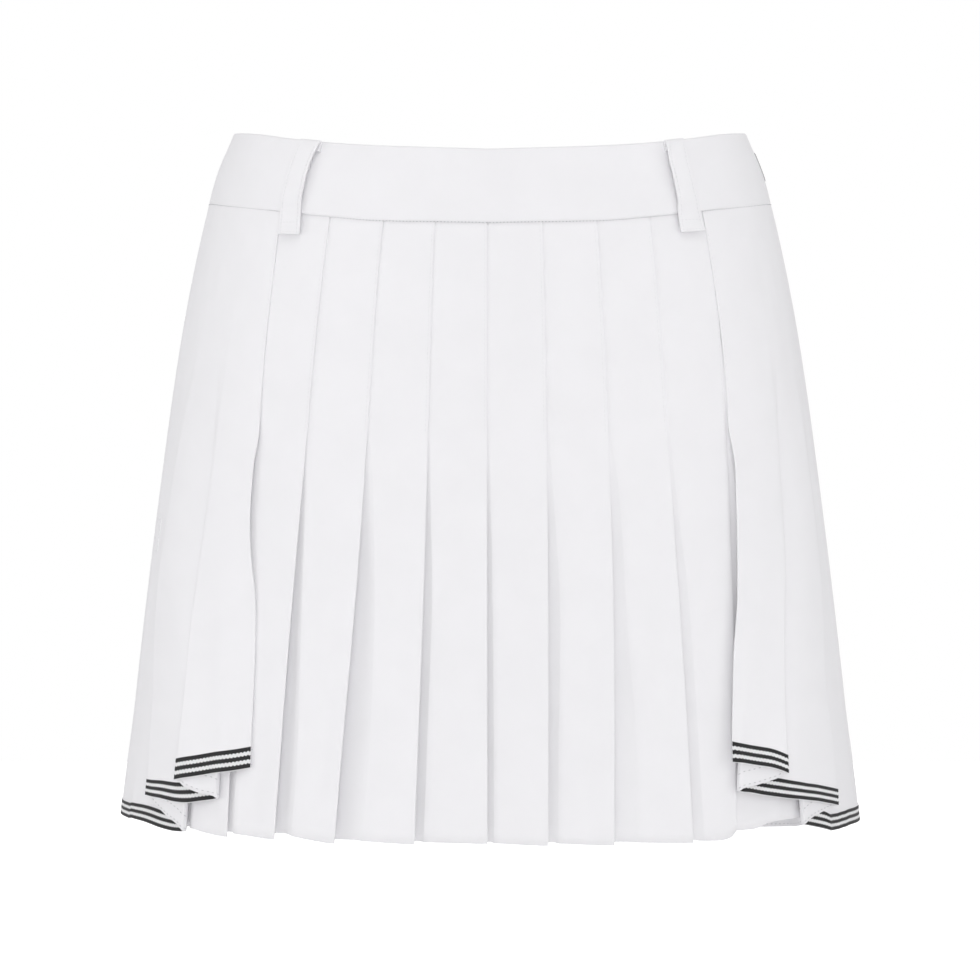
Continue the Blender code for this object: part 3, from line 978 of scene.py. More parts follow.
@dataclass(kw_only=True)
class SideOverlay(HemmedPanel):
    """A side overlay whose hem falls in a cascade of two folds.

    Its hems (heights) and trim (share of the ribbon's height in view) are read by
    station: 0 at the front edge, 1 to 4 at the folds and tucks, 6 at the side seam.
    """

    front: SmoothTable
    cascade: SmoothTable
    hems: Rows
    trim: Rows
    creases: tuple[Crease, ...]
    kink: Pair
    wall: float = 0.55
    flat: Pair = (0.3, 0.35)
    area: float = 0.062
    layer: float = 1.5
    seam_angle: float = 89.96
    layer_growth: float = 0.75
    layer_span: Pair = (290.0, 312.0)
    low_lift: float = 3.0
    pinch: float = 0.45
    slip: float = 0.2
    turned_span: Pair = (-1.0, 2.0)
    sewn: float = 0.72
    sewn_span: Pair = (120.0, 150.0)
    sewn_width: float = 5.0
    edge_stitch: Pair = (0.5, 0.04)
    edge_stitch_end: float = -132.0
    flare_angles: Pair = (62.0, 86.0)
    kink_widths: Pair = (0.7, 2.6)
    kink_span: Pair = (322.0, 346.0)
    relaxed_span: Pair = (150.0, 245.0)
    relax_rounds: int = 60
    fold_radius: float = 1.0
    rows: int = 76
    columns: tuple[int, ...] = (30, 16, 36, 18, 52)

    def stations(self) -> list[tuple[Run, float, float]]:
        """List the columns.

        Returns:
            Run, share of it, and station along the hem.
        """
        found = []
        for start, (run, count) in enumerate(zip(Run, self.columns)):
            length = 2.0 if run is Run.REAR else 1.0
            for share in np.linspace(0.0, 1.0, count).tolist():
                found.append((run, share, start + length * share))
        return found

    def place(self, run: Run, share: float, height: Array) -> tuple[Array, Array]:
        """Place a column of one run.

        Args:
            run: the stretch of cloth.
            share: how far along it.
            height: heights of the column.

        Returns:
            Unsigned angles and distances out.
        """
        fold_1, tuck_1, lift_1, fold_2, tuck_2, lift_2 = (
            self.cascade.read(name, height) for name in self.cascade.columns[1:]
        )

        def middle(angle: Array) -> Array:
            """Return how far out the run between the two folds lies."""
            return self.base + lift_2 * ease(np.minimum(tuck_1, fold_1), tuck_2 - 1.2, angle)

        if run is Run.FACE:
            edge = self.front.read("edge", height)
            angle = edge + (fold_1 - edge) * share
            start = self.base + self.front.read("edge_out", height)
            rise = ease(edge, np.minimum(tuck_1, fold_1 - 3.0) - 1.0, angle)
            sewn = self.sewn * (1.0 - ease(*self.sewn_span, -height))
            pressed = sewn * (1.0 - ease(edge, edge + self.sewn_width, angle))
            return angle, start - pressed + (middle(angle) + lift_1 - start) * rise
        start, goal, lift = {
            Run.UNDER_1: (fold_1, tuck_1, lift_1),
            Run.MIDDLE: (tuck_1, fold_2, lift_1),
            Run.UNDER_2: (fold_2, tuck_2, lift_2),
            Run.REAR: (tuck_2, self.seam_angle, lift_2),
        }[run]
        slip = self.slip * ease(0.0, self.low_lift, self.low_lift - lift)
        angle = start + slip * (1 - share) + (goal - start) * share
        outer = run in (Run.UNDER_1, Run.MIDDLE)
        below = middle(angle) if outer else np.full_like(height, self.base)
        if run in (Run.MIDDLE, Run.REAR):
            return angle, below
        layer = self.layer + self.layer_growth * ease(*self.layer_span, -height)
        room = np.where(lift < self.low_lift, np.minimum(layer, self.pinch * lift), layer)
        drop = (lift - 2 * room) * ease(*self.turned_span, goal - start)
        return angle, below + lift - room - drop * share

    def column(self, run: Run, share: float, height: Array) -> Array:
        """Place one column, with its creases and its kink.

        Args:
            run: the stretch of cloth.
            share: how far along it.
            height: heights of the column.

        Returns:
            Its points.
        """
        angle, out = self.place(run, share, height)
        if run in (Run.FACE, Run.MIDDLE, Run.REAR):
            for crease in self.creases:
                out = out + crease.out(angle, height)
        if run is Run.REAR:
            out = out + self.flared(height) * ease(*self.flare_angles, angle)
            spot, depth = self.kink
            near = np.exp(-np.abs(angle - spot) / np.where(angle > spot, *self.kink_widths))
            out = out + depth * near * ease(*self.kink_span, -height)
        return FORM.points(self.side * angle, height, out)

    def grid(self, rises: Array | None = None) -> Array:
        """Build the grid, or only a strip above the hem.

        Args:
            rises: heights above the hem, or None for the whole piece.

        Returns:
            Rows and columns of points.
        """
        down = np.linspace(0.0, 1.0, self.rows)
        stations = self.stations()
        columns = []
        for run, share, station in stations:
            hem = float(smooth(self.hems, station))
            if rises is None:
                first, _ = self.place(run, share, np.array([SEAM_LEVEL]))
                top = FORM.top(first[0])
                height = top + (hem - top) * down
            else:
                height = hem + rises * smooth(self.trim, station)
            columns.append(self.column(run, share, height))
        grid = soften(columns, [station[1] for station in stations], self.fold_radius)
        return relax(grid, 1.0 - ease(*self.relaxed_span, -grid[..., 2]), self.relax_rounds)

    def edge_stitches(self) -> Array:
        """Return the stitching that holds the front edge down.

        Returns:
            A line of points.
        """
        inset, thread_out = self.edge_stitch
        height = np.linspace(STITCH_TOP, self.edge_stitch_end, 24)
        angle = self.front.read("edge", height) + inset
        out = self.base - self.sewn + self.front.read("edge_out", height) + self.wall / 2
        return FORM.points(self.side * angle, height, out + thread_out)


EDGE_COLUMNS = ("height", "edge", "edge_out")
CASCADE_COLUMNS = ("height", "fold_1", "tuck_1", "lift_1", "fold_2", "tuck_2", "lift_2")
RIGHT_OVERLAY = SideOverlay(
    name="right_overlay",
    node="overlay_right",
    side=-1,
    front=SmoothTable(EDGE_COLUMNS, (
        (-10.0, 45.2, 0.0), (-60.0, 44.4, 0.0), (-100.0, 44.0, 0.0), (-128.0, 43.5, 0.2),
        (-138.0, 43.2, 0.5), (-153.7, 43.5, 1.2), (-167.4, 43.4, 1.5), (-181.0, 43.2, 1.5),
        (-194.7, 42.7, 1.2), (-208.4, 41.95, 0.7), (-222.0, 41.0, 0.0), (-238.0, 40.4, -0.4),
        (-254.6, 40.0, -0.45), (-276.0, 39.7, -0.45), (-306.0, 39.35, -0.3),
        (-330.0, 39.0, -0.2), (-360.0, 38.9, -0.2),
    )),
    cascade=SmoothTable(CASCADE_COLUMNS, (
        (-10.0, 54.0, 57.0, 0.0, 66.0, 69.0, 0.0),
        (-60.0, 54.3, 57.3, 0.4, 66.4, 69.4, 0.2),
        (-100.0, 54.5, 56.0, 1.2, 67.2, 69.6, 0.8),
        (-135.0, 54.6, 54.9, 2.0, 69.2, 70.4, 1.8),
        (-170.0, 54.7, 52.4, 2.8, 70.4, 69.4, 2.8),
        (-205.0, 54.8, 50.6, 3.2, 70.6, 66.4, 3.2),
        (-240.0, 54.7, 48.8, 3.4, 69.2, 62.0, 3.4),
        (-283.0, 53.8, 47.2, 4.0, 66.0, 56.6, 4.0),
        (-308.0, 53.2, 45.9, 5.0, 64.8, 53.9, 5.0),
        (-330.0, 53.3, 45.4, 5.0, 64.1, 52.8, 5.0),
        (-360.0, 53.3, 45.2, 5.0, 64.3, 52.6, 5.0),
    )),
    hems=(
        (0.0, -318.5), (0.24, -320.5), (0.45, -321.9), (0.7, -324.0), (1.0, -326.5),
        (1.2, -329.5), (1.4, -331.3), (1.6, -332.9), (1.8, -333.9), (1.92, -334.3),
        (2.0, -335.3), (2.04, -336.4), (2.1, -337.0), (2.2, -337.9), (2.3, -338.8),
        (2.4, -339.05), (2.48, -338.95), (2.6, -338.4), (2.73, -337.75), (2.87, -337.45),
        (3.0, -337.0), (3.15, -340.4), (3.3, -342.7), (3.45, -345.0), (3.6, -347.5),
        (3.75, -349.5), (3.9, -352.0), (4.0, -354.8), (4.08, -355.5), (4.17, -355.6),
        (4.32, -355.1), (4.45, -354.4), (4.61, -353.3), (4.77, -352.5), (4.96, -352.0),
        (5.08, -351.7), (5.14, -352.4), (5.26, -352.2), (6.0, -351.7),
    ),
    trim=(
        (0.0, 1.07), (0.9, 1.08), (2.3, 1.06), (2.47, 0.99), (2.66, 0.93), (2.8, 0.88),
        (3.0, 0.82), (4.0, 0.9), (4.5, 0.9), (4.77, 0.86), (5.1, 0.8), (6.0, 0.76),
    ),
    creases=(
        Crease(-20.0, -330.0, 80.0, 79.0, 2.4, 0.7),
        Crease(-60.0, -250.0, 73.0, 71.5, 2.2, 0.6),
        Crease(-15.0, -120.0, 51.0, 49.0, 2.2, -0.5),
    ),
    kink=(73.4, 1.3),
)
LEFT_OVERLAY = SideOverlay(
    name="left_overlay",
    node="overlay_left",
    front=SmoothTable(EDGE_COLUMNS, (
        (-10.0, 46.2, 0.0), (-60.0, 46.3, 0.0), (-100.0, 46.1, 0.0), (-120.0, 45.7, 0.2),
        (-134.0, 45.2, 0.7), (-152.0, 45.4, 1.9), (-173.0, 44.8, 2.2), (-195.0, 44.1, 2.4),
        (-227.5, 42.9, 2.5), (-241.0, 42.1, 2.5), (-254.6, 41.25, 2.6), (-271.0, 40.5, 2.8),
        (-282.0, 40.1, 2.9), (-304.0, 39.35, 3.1), (-330.0, 39.1, 3.2), (-345.0, 39.1, 3.2),
    )),
    cascade=SmoothTable(CASCADE_COLUMNS, (
        (-10.0, 60.5, 63.5, 0.0, 73.0, 76.0, 0.0),
        (-60.0, 61.0, 64.0, 0.4, 73.0, 76.0, 0.2),
        (-100.0, 60.4, 61.8, 1.2, 72.6, 75.0, 0.8),
        (-135.0, 59.4, 59.0, 2.0, 72.2, 73.6, 1.8),
        (-170.0, 57.9, 54.8, 2.8, 71.8, 71.6, 2.8),
        (-205.0, 56.2, 51.4, 3.2, 70.8, 67.4, 3.2),
        (-240.0, 53.6, 48.0, 3.4, 68.4, 63.6, 3.4),
        (-283.0, 51.2, 44.0, 4.0, 65.9, 58.4, 4.0),
        (-308.0, 49.9, 41.4, 5.0, 65.8, 55.8, 5.0),
        (-330.0, 49.5, 40.3, 5.0, 65.7, 54.9, 5.0),
        (-345.0, 49.5, 40.1, 5.0, 65.1, 54.7, 5.0),
    )),
    hems=(
        (0.0, -315.3), (0.15, -315.8), (0.3, -316.7), (0.46, -317.6), (0.66, -318.7),
        (0.78, -319.7), (0.88, -320.8), (1.0, -322.4), (1.2, -325.0), (1.4, -326.4),
        (1.6, -327.9), (1.8, -328.9), (1.92, -329.5), (2.0, -330.9), (2.04, -331.8),
        (2.1, -332.3), (2.18, -333.6), (2.3, -335.2), (2.42, -336.6), (2.52, -337.5),
        (2.6, -338.3), (2.7, -339.25), (2.8, -340.5), (2.9, -341.75), (3.0, -343.0),
        (3.2, -344.2), (3.4, -345.3), (3.6, -346.6), (3.8, -348.4), (4.0, -351.4),
        (4.16, -353.0), (4.3, -354.4), (4.42, -355.8), (4.49, -356.8), (4.56, -357.0),
        (4.71, -357.0), (4.82, -356.6), (4.94, -356.4), (5.07, -355.9), (6.0, -355.7),
    ),
    trim=(
        (0.0, 1.05), (0.18, 0.98), (0.6, 0.965), (1.0, 0.93), (2.0, 0.97), (2.3, 0.965),
        (2.5, 0.9), (2.6, 0.865), (3.0, 0.835), (4.0, 0.9), (4.4, 0.9), (4.5, 0.84),
        (6.0, 0.81),
    ),
    creases=(
        Crease(-20.0, -200.0, 66.0, 63.0, 2.6, 0.6),
        Crease(-90.0, -330.0, 82.0, 79.0, 2.4, 0.7),
        Crease(-15.0, -130.0, 53.0, 51.0, 2.2, -0.4),
    ),
    kink=(63.3, 2.2),
)


@dataclass(kw_only=True)
class BackPanel(HemmedPanel):
    """The plain flared back, with soft folds and creases that fade out upwards.

    Its hems (heights) and trim (share of the ribbon's height in view) are read by
    angle. Its sides turn in behind the overlays, at the turned angles by as much as
    lapped says.
    """

    name: str = "back"
    node: str = "back_panel"
    wall: float = 0.7
    flat: Pair = (0.62, 0.385)
    area: float = 0.2
    folds: Rows = (
        (108.0, 8.0, 0.75, -90.0), (131.0, 10.0, 1.0, -60.0), (156.0, 9.0, 0.8, -120.0),
        (181.0, 11.0, 1.0, -70.0), (207.0, 9.0, 0.7, -130.0), (230.0, 10.0, 0.95, -80.0),
        (253.0, 8.0, 0.7, -110.0),
        (101.5, 2.6, 0.16, -170.0), (118.5, 3.0, -0.25, -130.0), (124.5, 2.6, 0.16, -200.0),
        (140.5, 3.2, -0.22, -170.0), (149.0, 2.8, 0.2, -150.0), (167.5, 3.4, -0.28, -110.0),
        (174.0, 2.6, 0.16, -190.0), (192.0, 3.2, -0.25, -150.0), (199.0, 2.6, 0.18, -180.0),
        (217.5, 3.2, -0.27, -120.0), (224.0, 2.6, 0.15, -200.0), (241.5, 3.0, -0.25, -160.0),
        (248.5, 2.6, 0.17, -150.0),
    )
    hems: Rows = (
        (90.0, -355.7), (100.0, -358.0), (110.0, -362.0), (124.0, -369.0),
        (150.0, -374.0), (180.0, -376.0), (210.0, -374.0), (236.0, -369.0),
        (250.0, -362.0), (260.0, -356.0), (270.0, -351.7),
    )
    trim: Rows = ((90.0, 0.81), (110.0, 1.0), (250.0, 1.0), (270.0, 0.76))
    turned: tuple[float, ...] = (89.3, 89.9, 90.06, 90.13)
    lapped: tuple[float, ...] = (-1.5, -1.45, -1.1, -0.3)
    fold_depth: float = 9.0
    fold_end: float = 370.0
    ripple: float = 0.5
    ripple_span: Pair = (40.0, 200.0)
    seam_fade: Pair = (0.0, 10.0)
    flare_fade: Pair = (0.0, 30.0)
    seam_angle: float = 90.14
    rows: int = 60
    columns: int = 220

    def out(self, angle: Array, height: Array) -> Array:
        """Add up the folds, each given as angle, width, depth and upper end.

        Args:
            angle: degrees round the body.
            height: millimetres up.

        Returns:
            How far the panel stands out.
        """
        out = np.zeros_like(angle * height)
        for middle, width, depth, start in self.folds:
            grown = ease(-start, self.fold_end, -height)
            out = out + self.fold_depth * depth * grown * np.exp(-(((angle - middle) / width) ** 2))
        near = np.minimum(angle - 90.0, 270.0 - angle)
        ripple = self.ripple * np.sin(angle * 0.31 + 1.0) * ease(*self.ripple_span, -height)
        flare = self.flared(height) * (1.0 - ease(*self.flare_fade, near))
        return self.base + (out + ripple) * ease(*self.seam_fade, near) + flare

    def grid(self, rises: Array | None = None) -> Array:
        """Build the grid, or only a strip above the hem.

        Args:
            rises: heights above the hem, or None for the whole piece, which
                laps under the overlays at its sides.

        Returns:
            Rows and columns of points.
        """
        angle = np.linspace(self.seam_angle, 360.0 - self.seam_angle, self.columns)
        if rises is not None:
            height = smooth(self.hems, angle) + rises[:, None] * smooth(self.trim, angle)
            return FORM.points(angle, height, self.out(angle, height))
        turned, lapped = np.array(self.turned), np.array(self.lapped)
        angle = np.concatenate((turned, angle, 360.0 - turned[::-1]))
        lap = np.concatenate((lapped, np.zeros(self.columns), lapped[::-1]))
        top = FORM.top(angle)
        height = top + (smooth(self.hems, angle) - top) * np.linspace(0.0, 1.0, self.rows)[:, None]
        return FORM.points(angle, height, self.out(angle, height) + lap)


@dataclass(kw_only=True)
class HemRibbon(Sheet):
    """A length of striped ribbon along a panel's hem."""

    panel: HemmedPanel
    wall: float = 0.36
    slot: Slot = Slot.RIBBON
    hold: Hold = Hold.FOLDED
    height: float = 10.9
    flip_v: bool = True
    rise: float = 0.15
    gap: float = 0.06

    def grid(self) -> Array:
        """Return a strip off the panel's right side, from its upper edge down."""
        rises = self.rise + self.height * np.linspace(1.0, 0.0, 9)
        return self.panel.strip(rises, self.panel.wall / 2 + self.wall / 2 + self.gap)


@dataclass(kw_only=True)
class Waistband(Sheet):
    """One half of the doubled waistband, folded over at its upper edge."""

    start: float
    end: float
    wall: float = 0.6
    hold: Hold = Hold.STRETCHED
    outer: float = 0.0
    inner: float = -2.0
    fold: float = 1.0
    hem: float = 2.4
    tucked: Pair = (0.3, 0.65)
    tucked_angles: Pair = (43.5, 45.0)
    bulge: float = 0.35
    seam_drop: float = 0.15
    stitch_drop: float = 0.42
    stitch_outs: Pair = (-0.85, 1.2)
    stitch_angles: Pair = (44.0, 45.5)
    columns: int = 180

    def grid(self) -> Array:
        """Build the band from its tucked seam, over its upper edge, to its inner hem.

        Returns:
            Rows and columns of points.
        """
        angle = np.linspace(self.start, self.end, self.columns)
        seam, top = FORM.seam(angle), FORM.waist(angle) - self.wall / 2
        least, more = self.tucked
        tucked = least + more * (1.0 - ease(*self.tucked_angles, np.abs(angle)))
        rows = []
        for rise, drawn in ((0.0, 1.0), (0.1, 0.62), (0.35, 0.3), (0.8, 0.08)):
            rows.append((seam - self.seam_drop + rise, self.outer - tucked * drawn))
        for share in np.linspace(0.04, 1.0, 14):
            bulge = self.bulge * math.sin(math.pi * share)
            rows.append((seam + (top - self.fold - seam) * share, self.outer + bulge))
        middle, reach = (self.outer + self.inner) / 2, (self.outer - self.inner) / 2
        for turn in np.radians(np.linspace(15.0, 165.0, 9)):
            rows.append((top - self.fold + math.sin(turn), middle + reach * math.cos(turn)))
        for share in np.linspace(0.0, 1.0, 10):
            height = top - self.fold + (seam + self.hem - top + self.fold) * share
            rows.append((height, self.inner))
        return np.stack([FORM.points(angle, height, out) for height, out in rows])

    def stitch_lines(self) -> list[Array]:
        """Return the line of stitching in the lower seam.

        Returns:
            One line of points.
        """
        angle = np.linspace(self.start, self.end, self.columns)
        tucked, more = self.stitch_outs
        out = self.outer + tucked + more * ease(*self.stitch_angles, np.abs(angle))
        return [FORM.points(angle, FORM.seam(angle) - self.stitch_drop, out)]


def reach_of(angle: Array | float, height: Array, out: Array | float) -> Array:
    """Measure how many millimetres one degree covers on the form.

    Args:
        angle: degrees round the body.
        height: millimetres up.
        out: millimetres out from the form.

    Returns:
        Millimetres for each degree.
    """
    left, right = (FORM.points(angle + way, height, out) for way in (-1.0, 1.0))
    return np.linalg.norm(right - left, axis=-1) / 2.0


@dataclass(kw_only=True)
class BeltLoop(Sheet):
    """A belt loop, turned under at its top and sewn down at its foot.

    A groove is its middle and width, in half widths or in millimetres from the foot.
    """

    top: float
    middle: float
    foot: float
    flat: Pair = (0.0138, 0.068)
    hold: Hold = Hold.FOLDED
    width: float = 13.6
    wall: float = 1.1
    foot_height: float = -26.0
    far: float = 3.7
    low: float = 1.1
    spread: float = 0.6
    slope: float = 0.0
    toe: float = 0.001
    stitch_inset: float = 1.7
    lean: float = 0.07
    doming: float = 0.18
    groove: float = 0.2
    side_groove: Pair = (0.75, 0.06)
    foot_groove: Pair = (1.8, 0.5)
    near: tuple[float, ...] = (0.2, 0.45, 0.62, 0.7, 0.75, 0.8, 0.88, 0.95, 1.0)

    def path(self, length: float) -> Array:
        """Return the loop's way, as millimetres down and out from the crown.

        Args:
            length: its length from the crown to the foot.

        Returns:
            Points of the way, from the end that is turned under.
        """
        low, far = self.low, self.far
        turn = low + self.wall + 0.5
        return np.array((
            (6.0, low), (3.6, low), (0.6, low + 0.1), (0.0, (low + turn) / 2), (0.5, turn + 0.1),
            (5.0, turn + 0.7), (12.5, far - 0.3), (19.5, far), (26.5, far - 0.5),
            (33.0, turn + 0.2), (38.5, low + 0.5), (43.0, low), (length, low),
        ))

    def grid(self, inset: float = 0.0, rise: float = 0.0) -> Array:
        """Build the loop's grid, with a groove where its stitching pulls in.

        Args:
            inset: how far its sides are drawn in.
            rise: how far it is moved off its own face.

        Returns:
            Rows and columns of points.
        """
        crown = float(FORM.waist(self.top))
        length = crown - self.foot_height
        path = self.path(length)
        knots = np.concatenate(([0.0], np.cumsum(np.linalg.norm(np.diff(path, axis=0), axis=1))))
        at = np.linspace(0.0, knots[-1], 90)
        down, out = (smooth(tuple(zip(knots, line)), at) for line in path.T)
        tangent = np.stack((np.gradient(down), np.gradient(out)), axis=1)
        tangent /= np.linalg.norm(tangent, axis=1, keepdims=True)
        down = down - tangent[:, 1] * rise
        out = out + tangent[:, 0] * rise
        angle = smooth((
            (0.0, self.top), (0.28 * length, self.middle), (0.75 * length, self.foot),
            (length, self.foot + self.toe),
        ), down)
        under = np.arange(at.size) < np.argmin(down)
        angle = np.where(under, self.top - math.copysign(self.lean, self.top) * down, angle)
        height = crown - down
        wide = self.width / 2 - inset + self.spread * ease(0.5 * length, 1.08 * length, down)
        half = wide / reach_of(angle, height, out)
        across = np.array((*(-place for place in self.near[::-1]), *self.near))
        spot, wide = self.side_groove
        sewn = np.exp(-(((np.abs(across) - spot) / wide) ** 2))
        spot, wide = self.foot_groove
        sewn = np.maximum(sewn, np.exp(-(((down - length + spot) / wide) ** 2))[:, None])
        relief = self.doming * (1.0 - across**4) - self.groove * sewn
        around = angle[:, None] + half[:, None] * across
        slant = (FORM.waist(around) - FORM.waist(self.top)) * (1.0 - ease(2.0, 16.0, down))[:, None]
        slant = slant + self.slope * across * ease(0.8 * length, length, down)[:, None]
        return FORM.points(around, height[:, None] + slant, out[:, None] + relief)

    def stitch_lines(self) -> list[Array]:
        """Return the stitching along both sides and across the foot."""
        grid = self.grid(inset=self.stitch_inset, rise=self.wall / 2 + self.thread_out)[16:-2]
        return [grid[:, 0], grid[:, -1], grid[-1], grid[-9]]


LOOPS = (
    BeltLoop(
        name="loop_front_right", node="belt_loop_front_right", top=-40.4, middle=-41.4, foot=-42.0,
        foot_height=-26.5, spread=0.5, slope=-0.45, toe=0.45,
    ),
    BeltLoop(
        name="loop_front_left", node="belt_loop_front_left", top=41.85, middle=41.2, foot=41.85,
        width=13.1, foot_height=-25.0, spread=1.9, slope=0.7, toe=0.35,
    ),
    *(
        BeltLoop(
            name=f"loop_back_{spot}", node=f"belt_loop_back_{spot}", top=angle, middle=angle, foot=angle
        )
        for spot, angle in (("right", -124.0), ("left", 124.0), ("center", 180.0))
    ),
)


@dataclass(kw_only=True)
class FlatTrim(Piece):
    """A small rounded rectangle that lies on the form."""

    angle: float
    half_width: float
    top: float
    bottom: float
    out: float
    corner: float

    def grid(self, inset: float = 0.0, rise: float = 0.0) -> Array:
        """Build the piece's grid, its corners drawn in round.

        Args:
            inset: how far its edges are drawn in.
            rise: how far it is moved out.

        Returns:
            Rows and columns of points.
        """
        across = np.linspace(-1.0, 1.0, 17)
        rows = []
        for height in np.linspace(self.top - inset, self.bottom + inset, 21):
            near = min(self.top - inset - height, height - self.bottom - inset)
            short = max(self.corner - near, 0.0)
            cut = self.corner - math.sqrt(max(self.corner**2 - short**2, 0.0))
            reach = (self.half_width - inset - cut) / reach_of(self.angle, height, self.out)
            rows.append(FORM.points(self.angle + reach * across, height, self.out + rise))
        return np.stack(rows)


@dataclass(kw_only=True)
class SidePatch(FlatTrim, Sheet):
    """The small bare patch sewn to the wearer's right side."""

    stitch_inset: float = 1.0

    def stitch_lines(self) -> list[Array]:
        """Return the stitching round the patch."""
        grid = self.grid(inset=self.stitch_inset, rise=self.wall / 2 + self.thread_out)
        return [np.concatenate((grid[0], grid[1:, -1], grid[-1, ::-1][1:], grid[::-1, 0][1:]))]


@dataclass(kw_only=True)
class BandPlate(FlatTrim):
    """The small bare metal plate on the waistband at the wearer's left side."""

    slot: Slot = Slot.PLATE
    bevel: float = 0.3125
    bevel_segments: int = 2
    bevel_angle: float = 50.0
    quality_normals: bool = False


@dataclass
class Stitching:
    """Rows of small stitches laid along lines by Geometry Nodes."""

    name: str
    lines: list[Array]
    thread: bpy.types.Material
    pitch: float
    length: float
    radius: float

    def tree(self) -> bpy.types.GeometryNodeTree:
        """Build the node tree.

        Returns:
            The tree, with inputs for the pitch, length and radius.
        """
        group = bpy.data.node_groups.new(f"{self.name}_tree", "GeometryNodeTree")
        group.interface.new_socket("Geometry", in_out="INPUT", socket_type="NodeSocketGeometry")
        for label in ("Pitch", "Length", "Radius"):
            group.interface.new_socket(label, in_out="INPUT", socket_type="NodeSocketFloat")
        group.interface.new_socket("Geometry", in_out="OUTPUT", socket_type="NodeSocketGeometry")
        tree = Tree(group)
        sizes = tree.add("NodeGroupInput").outputs
        curve = tree.add("GeometryNodeMeshToCurve", Mesh=sizes["Geometry"])
        evenly = tree.add(
            "GeometryNodeResampleCurve", {"mode": "LENGTH"},
            Curve=curve.outputs[0], Length=sizes["Pitch"],
        )
        stitch = tree.add("GeometryNodeMeshUVSphere", Segments=6, Rings=4, Radius=1.0)
        tangent = tree.add("GeometryNodeInputTangent").outputs[0]
        turn = tree.add("FunctionNodeAlignRotationToVector", {"axis": "X"}, Vector=tangent)
        half, radius = tree.math("MULTIPLY", sizes["Length"], 0.5), sizes["Radius"]
        size = tree.add("ShaderNodeCombineXYZ", X=half, Y=radius, Z=radius)
        placed = tree.add(
            "GeometryNodeInstanceOnPoints", Points=evenly.outputs[0], Instance=stitch.outputs[0],
            Rotation=turn.outputs[0], Scale=size.outputs[0],
        )
        real = tree.add("GeometryNodeRealizeInstances", Geometry=placed.outputs[0])
        dressed = tree.add("GeometryNodeSetMaterial", Geometry=real.outputs[0], Material=self.thread)
        tree.add("NodeGroupOutput", Geometry=dressed.outputs[0])
        return group

    def build(self) -> bpy.types.Object:
        """Lay the stitches and turn them into a plain mesh.

        Returns:
            The finished piece.
        """
        points, edges = [], []
        for line in self.lines:
            first = len(points)
            points += (line * MM).tolist()
            edges += [(i, i + 1) for i in range(first, len(points) - 1)]
        guide_mesh = bpy.data.meshes.new(f"{self.name}_guide")
        guide_mesh.from_pydata(points, edges, [])
        guide = linked(f"{self.name}_guide", guide_mesh)
        modifier = guide.modifiers.new("Stitches", "NODES")
        modifier.node_group = self.tree()
        sizes = {"Pitch": self.pitch, "Length": self.length, "Radius": self.radius}
        for item in modifier.node_group.interface.items_tree:
            if item.in_out == "INPUT" and item.name in sizes:
                modifier[item.identifier] = sizes[item.name] * MM
        bpy.context.view_layer.update()
        graph = bpy.context.evaluated_depsgraph_get()
        mesh = bpy.data.meshes.new_from_object(guide.evaluated_get(graph))
        bpy.data.objects.remove(guide)
        mesh.name = self.name
        mesh.shade_smooth()
        piece = linked(self.name, mesh)
        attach(piece, "root")
        LOG.info("%s: %d faces", self.name, len(mesh.polygons))
        return piece


@dataclass(frozen=True)
class Lamp:
    """A square soft light."""

    name: str
    spot: tuple[float, float, float]
    size: float
    power: float

    def place(self, aim: Array) -> None:
        """Add the light to the scene.

        Args:
            aim: the point that it is turned to.
        """
        data = bpy.data.lights.new(self.name, "AREA")
        data.size = self.size
        data.energy = self.power
        lamp = linked(self.name, data)
        lamp.location = self.spot
        x, y, z = aim - np.array(self.spot)
        tilt = math.radians(90.0) + math.atan2(z, math.hypot(x, y))
        lamp.rotation_euler = (tilt, 0.0, math.atan2(y, x) - math.pi / 2)


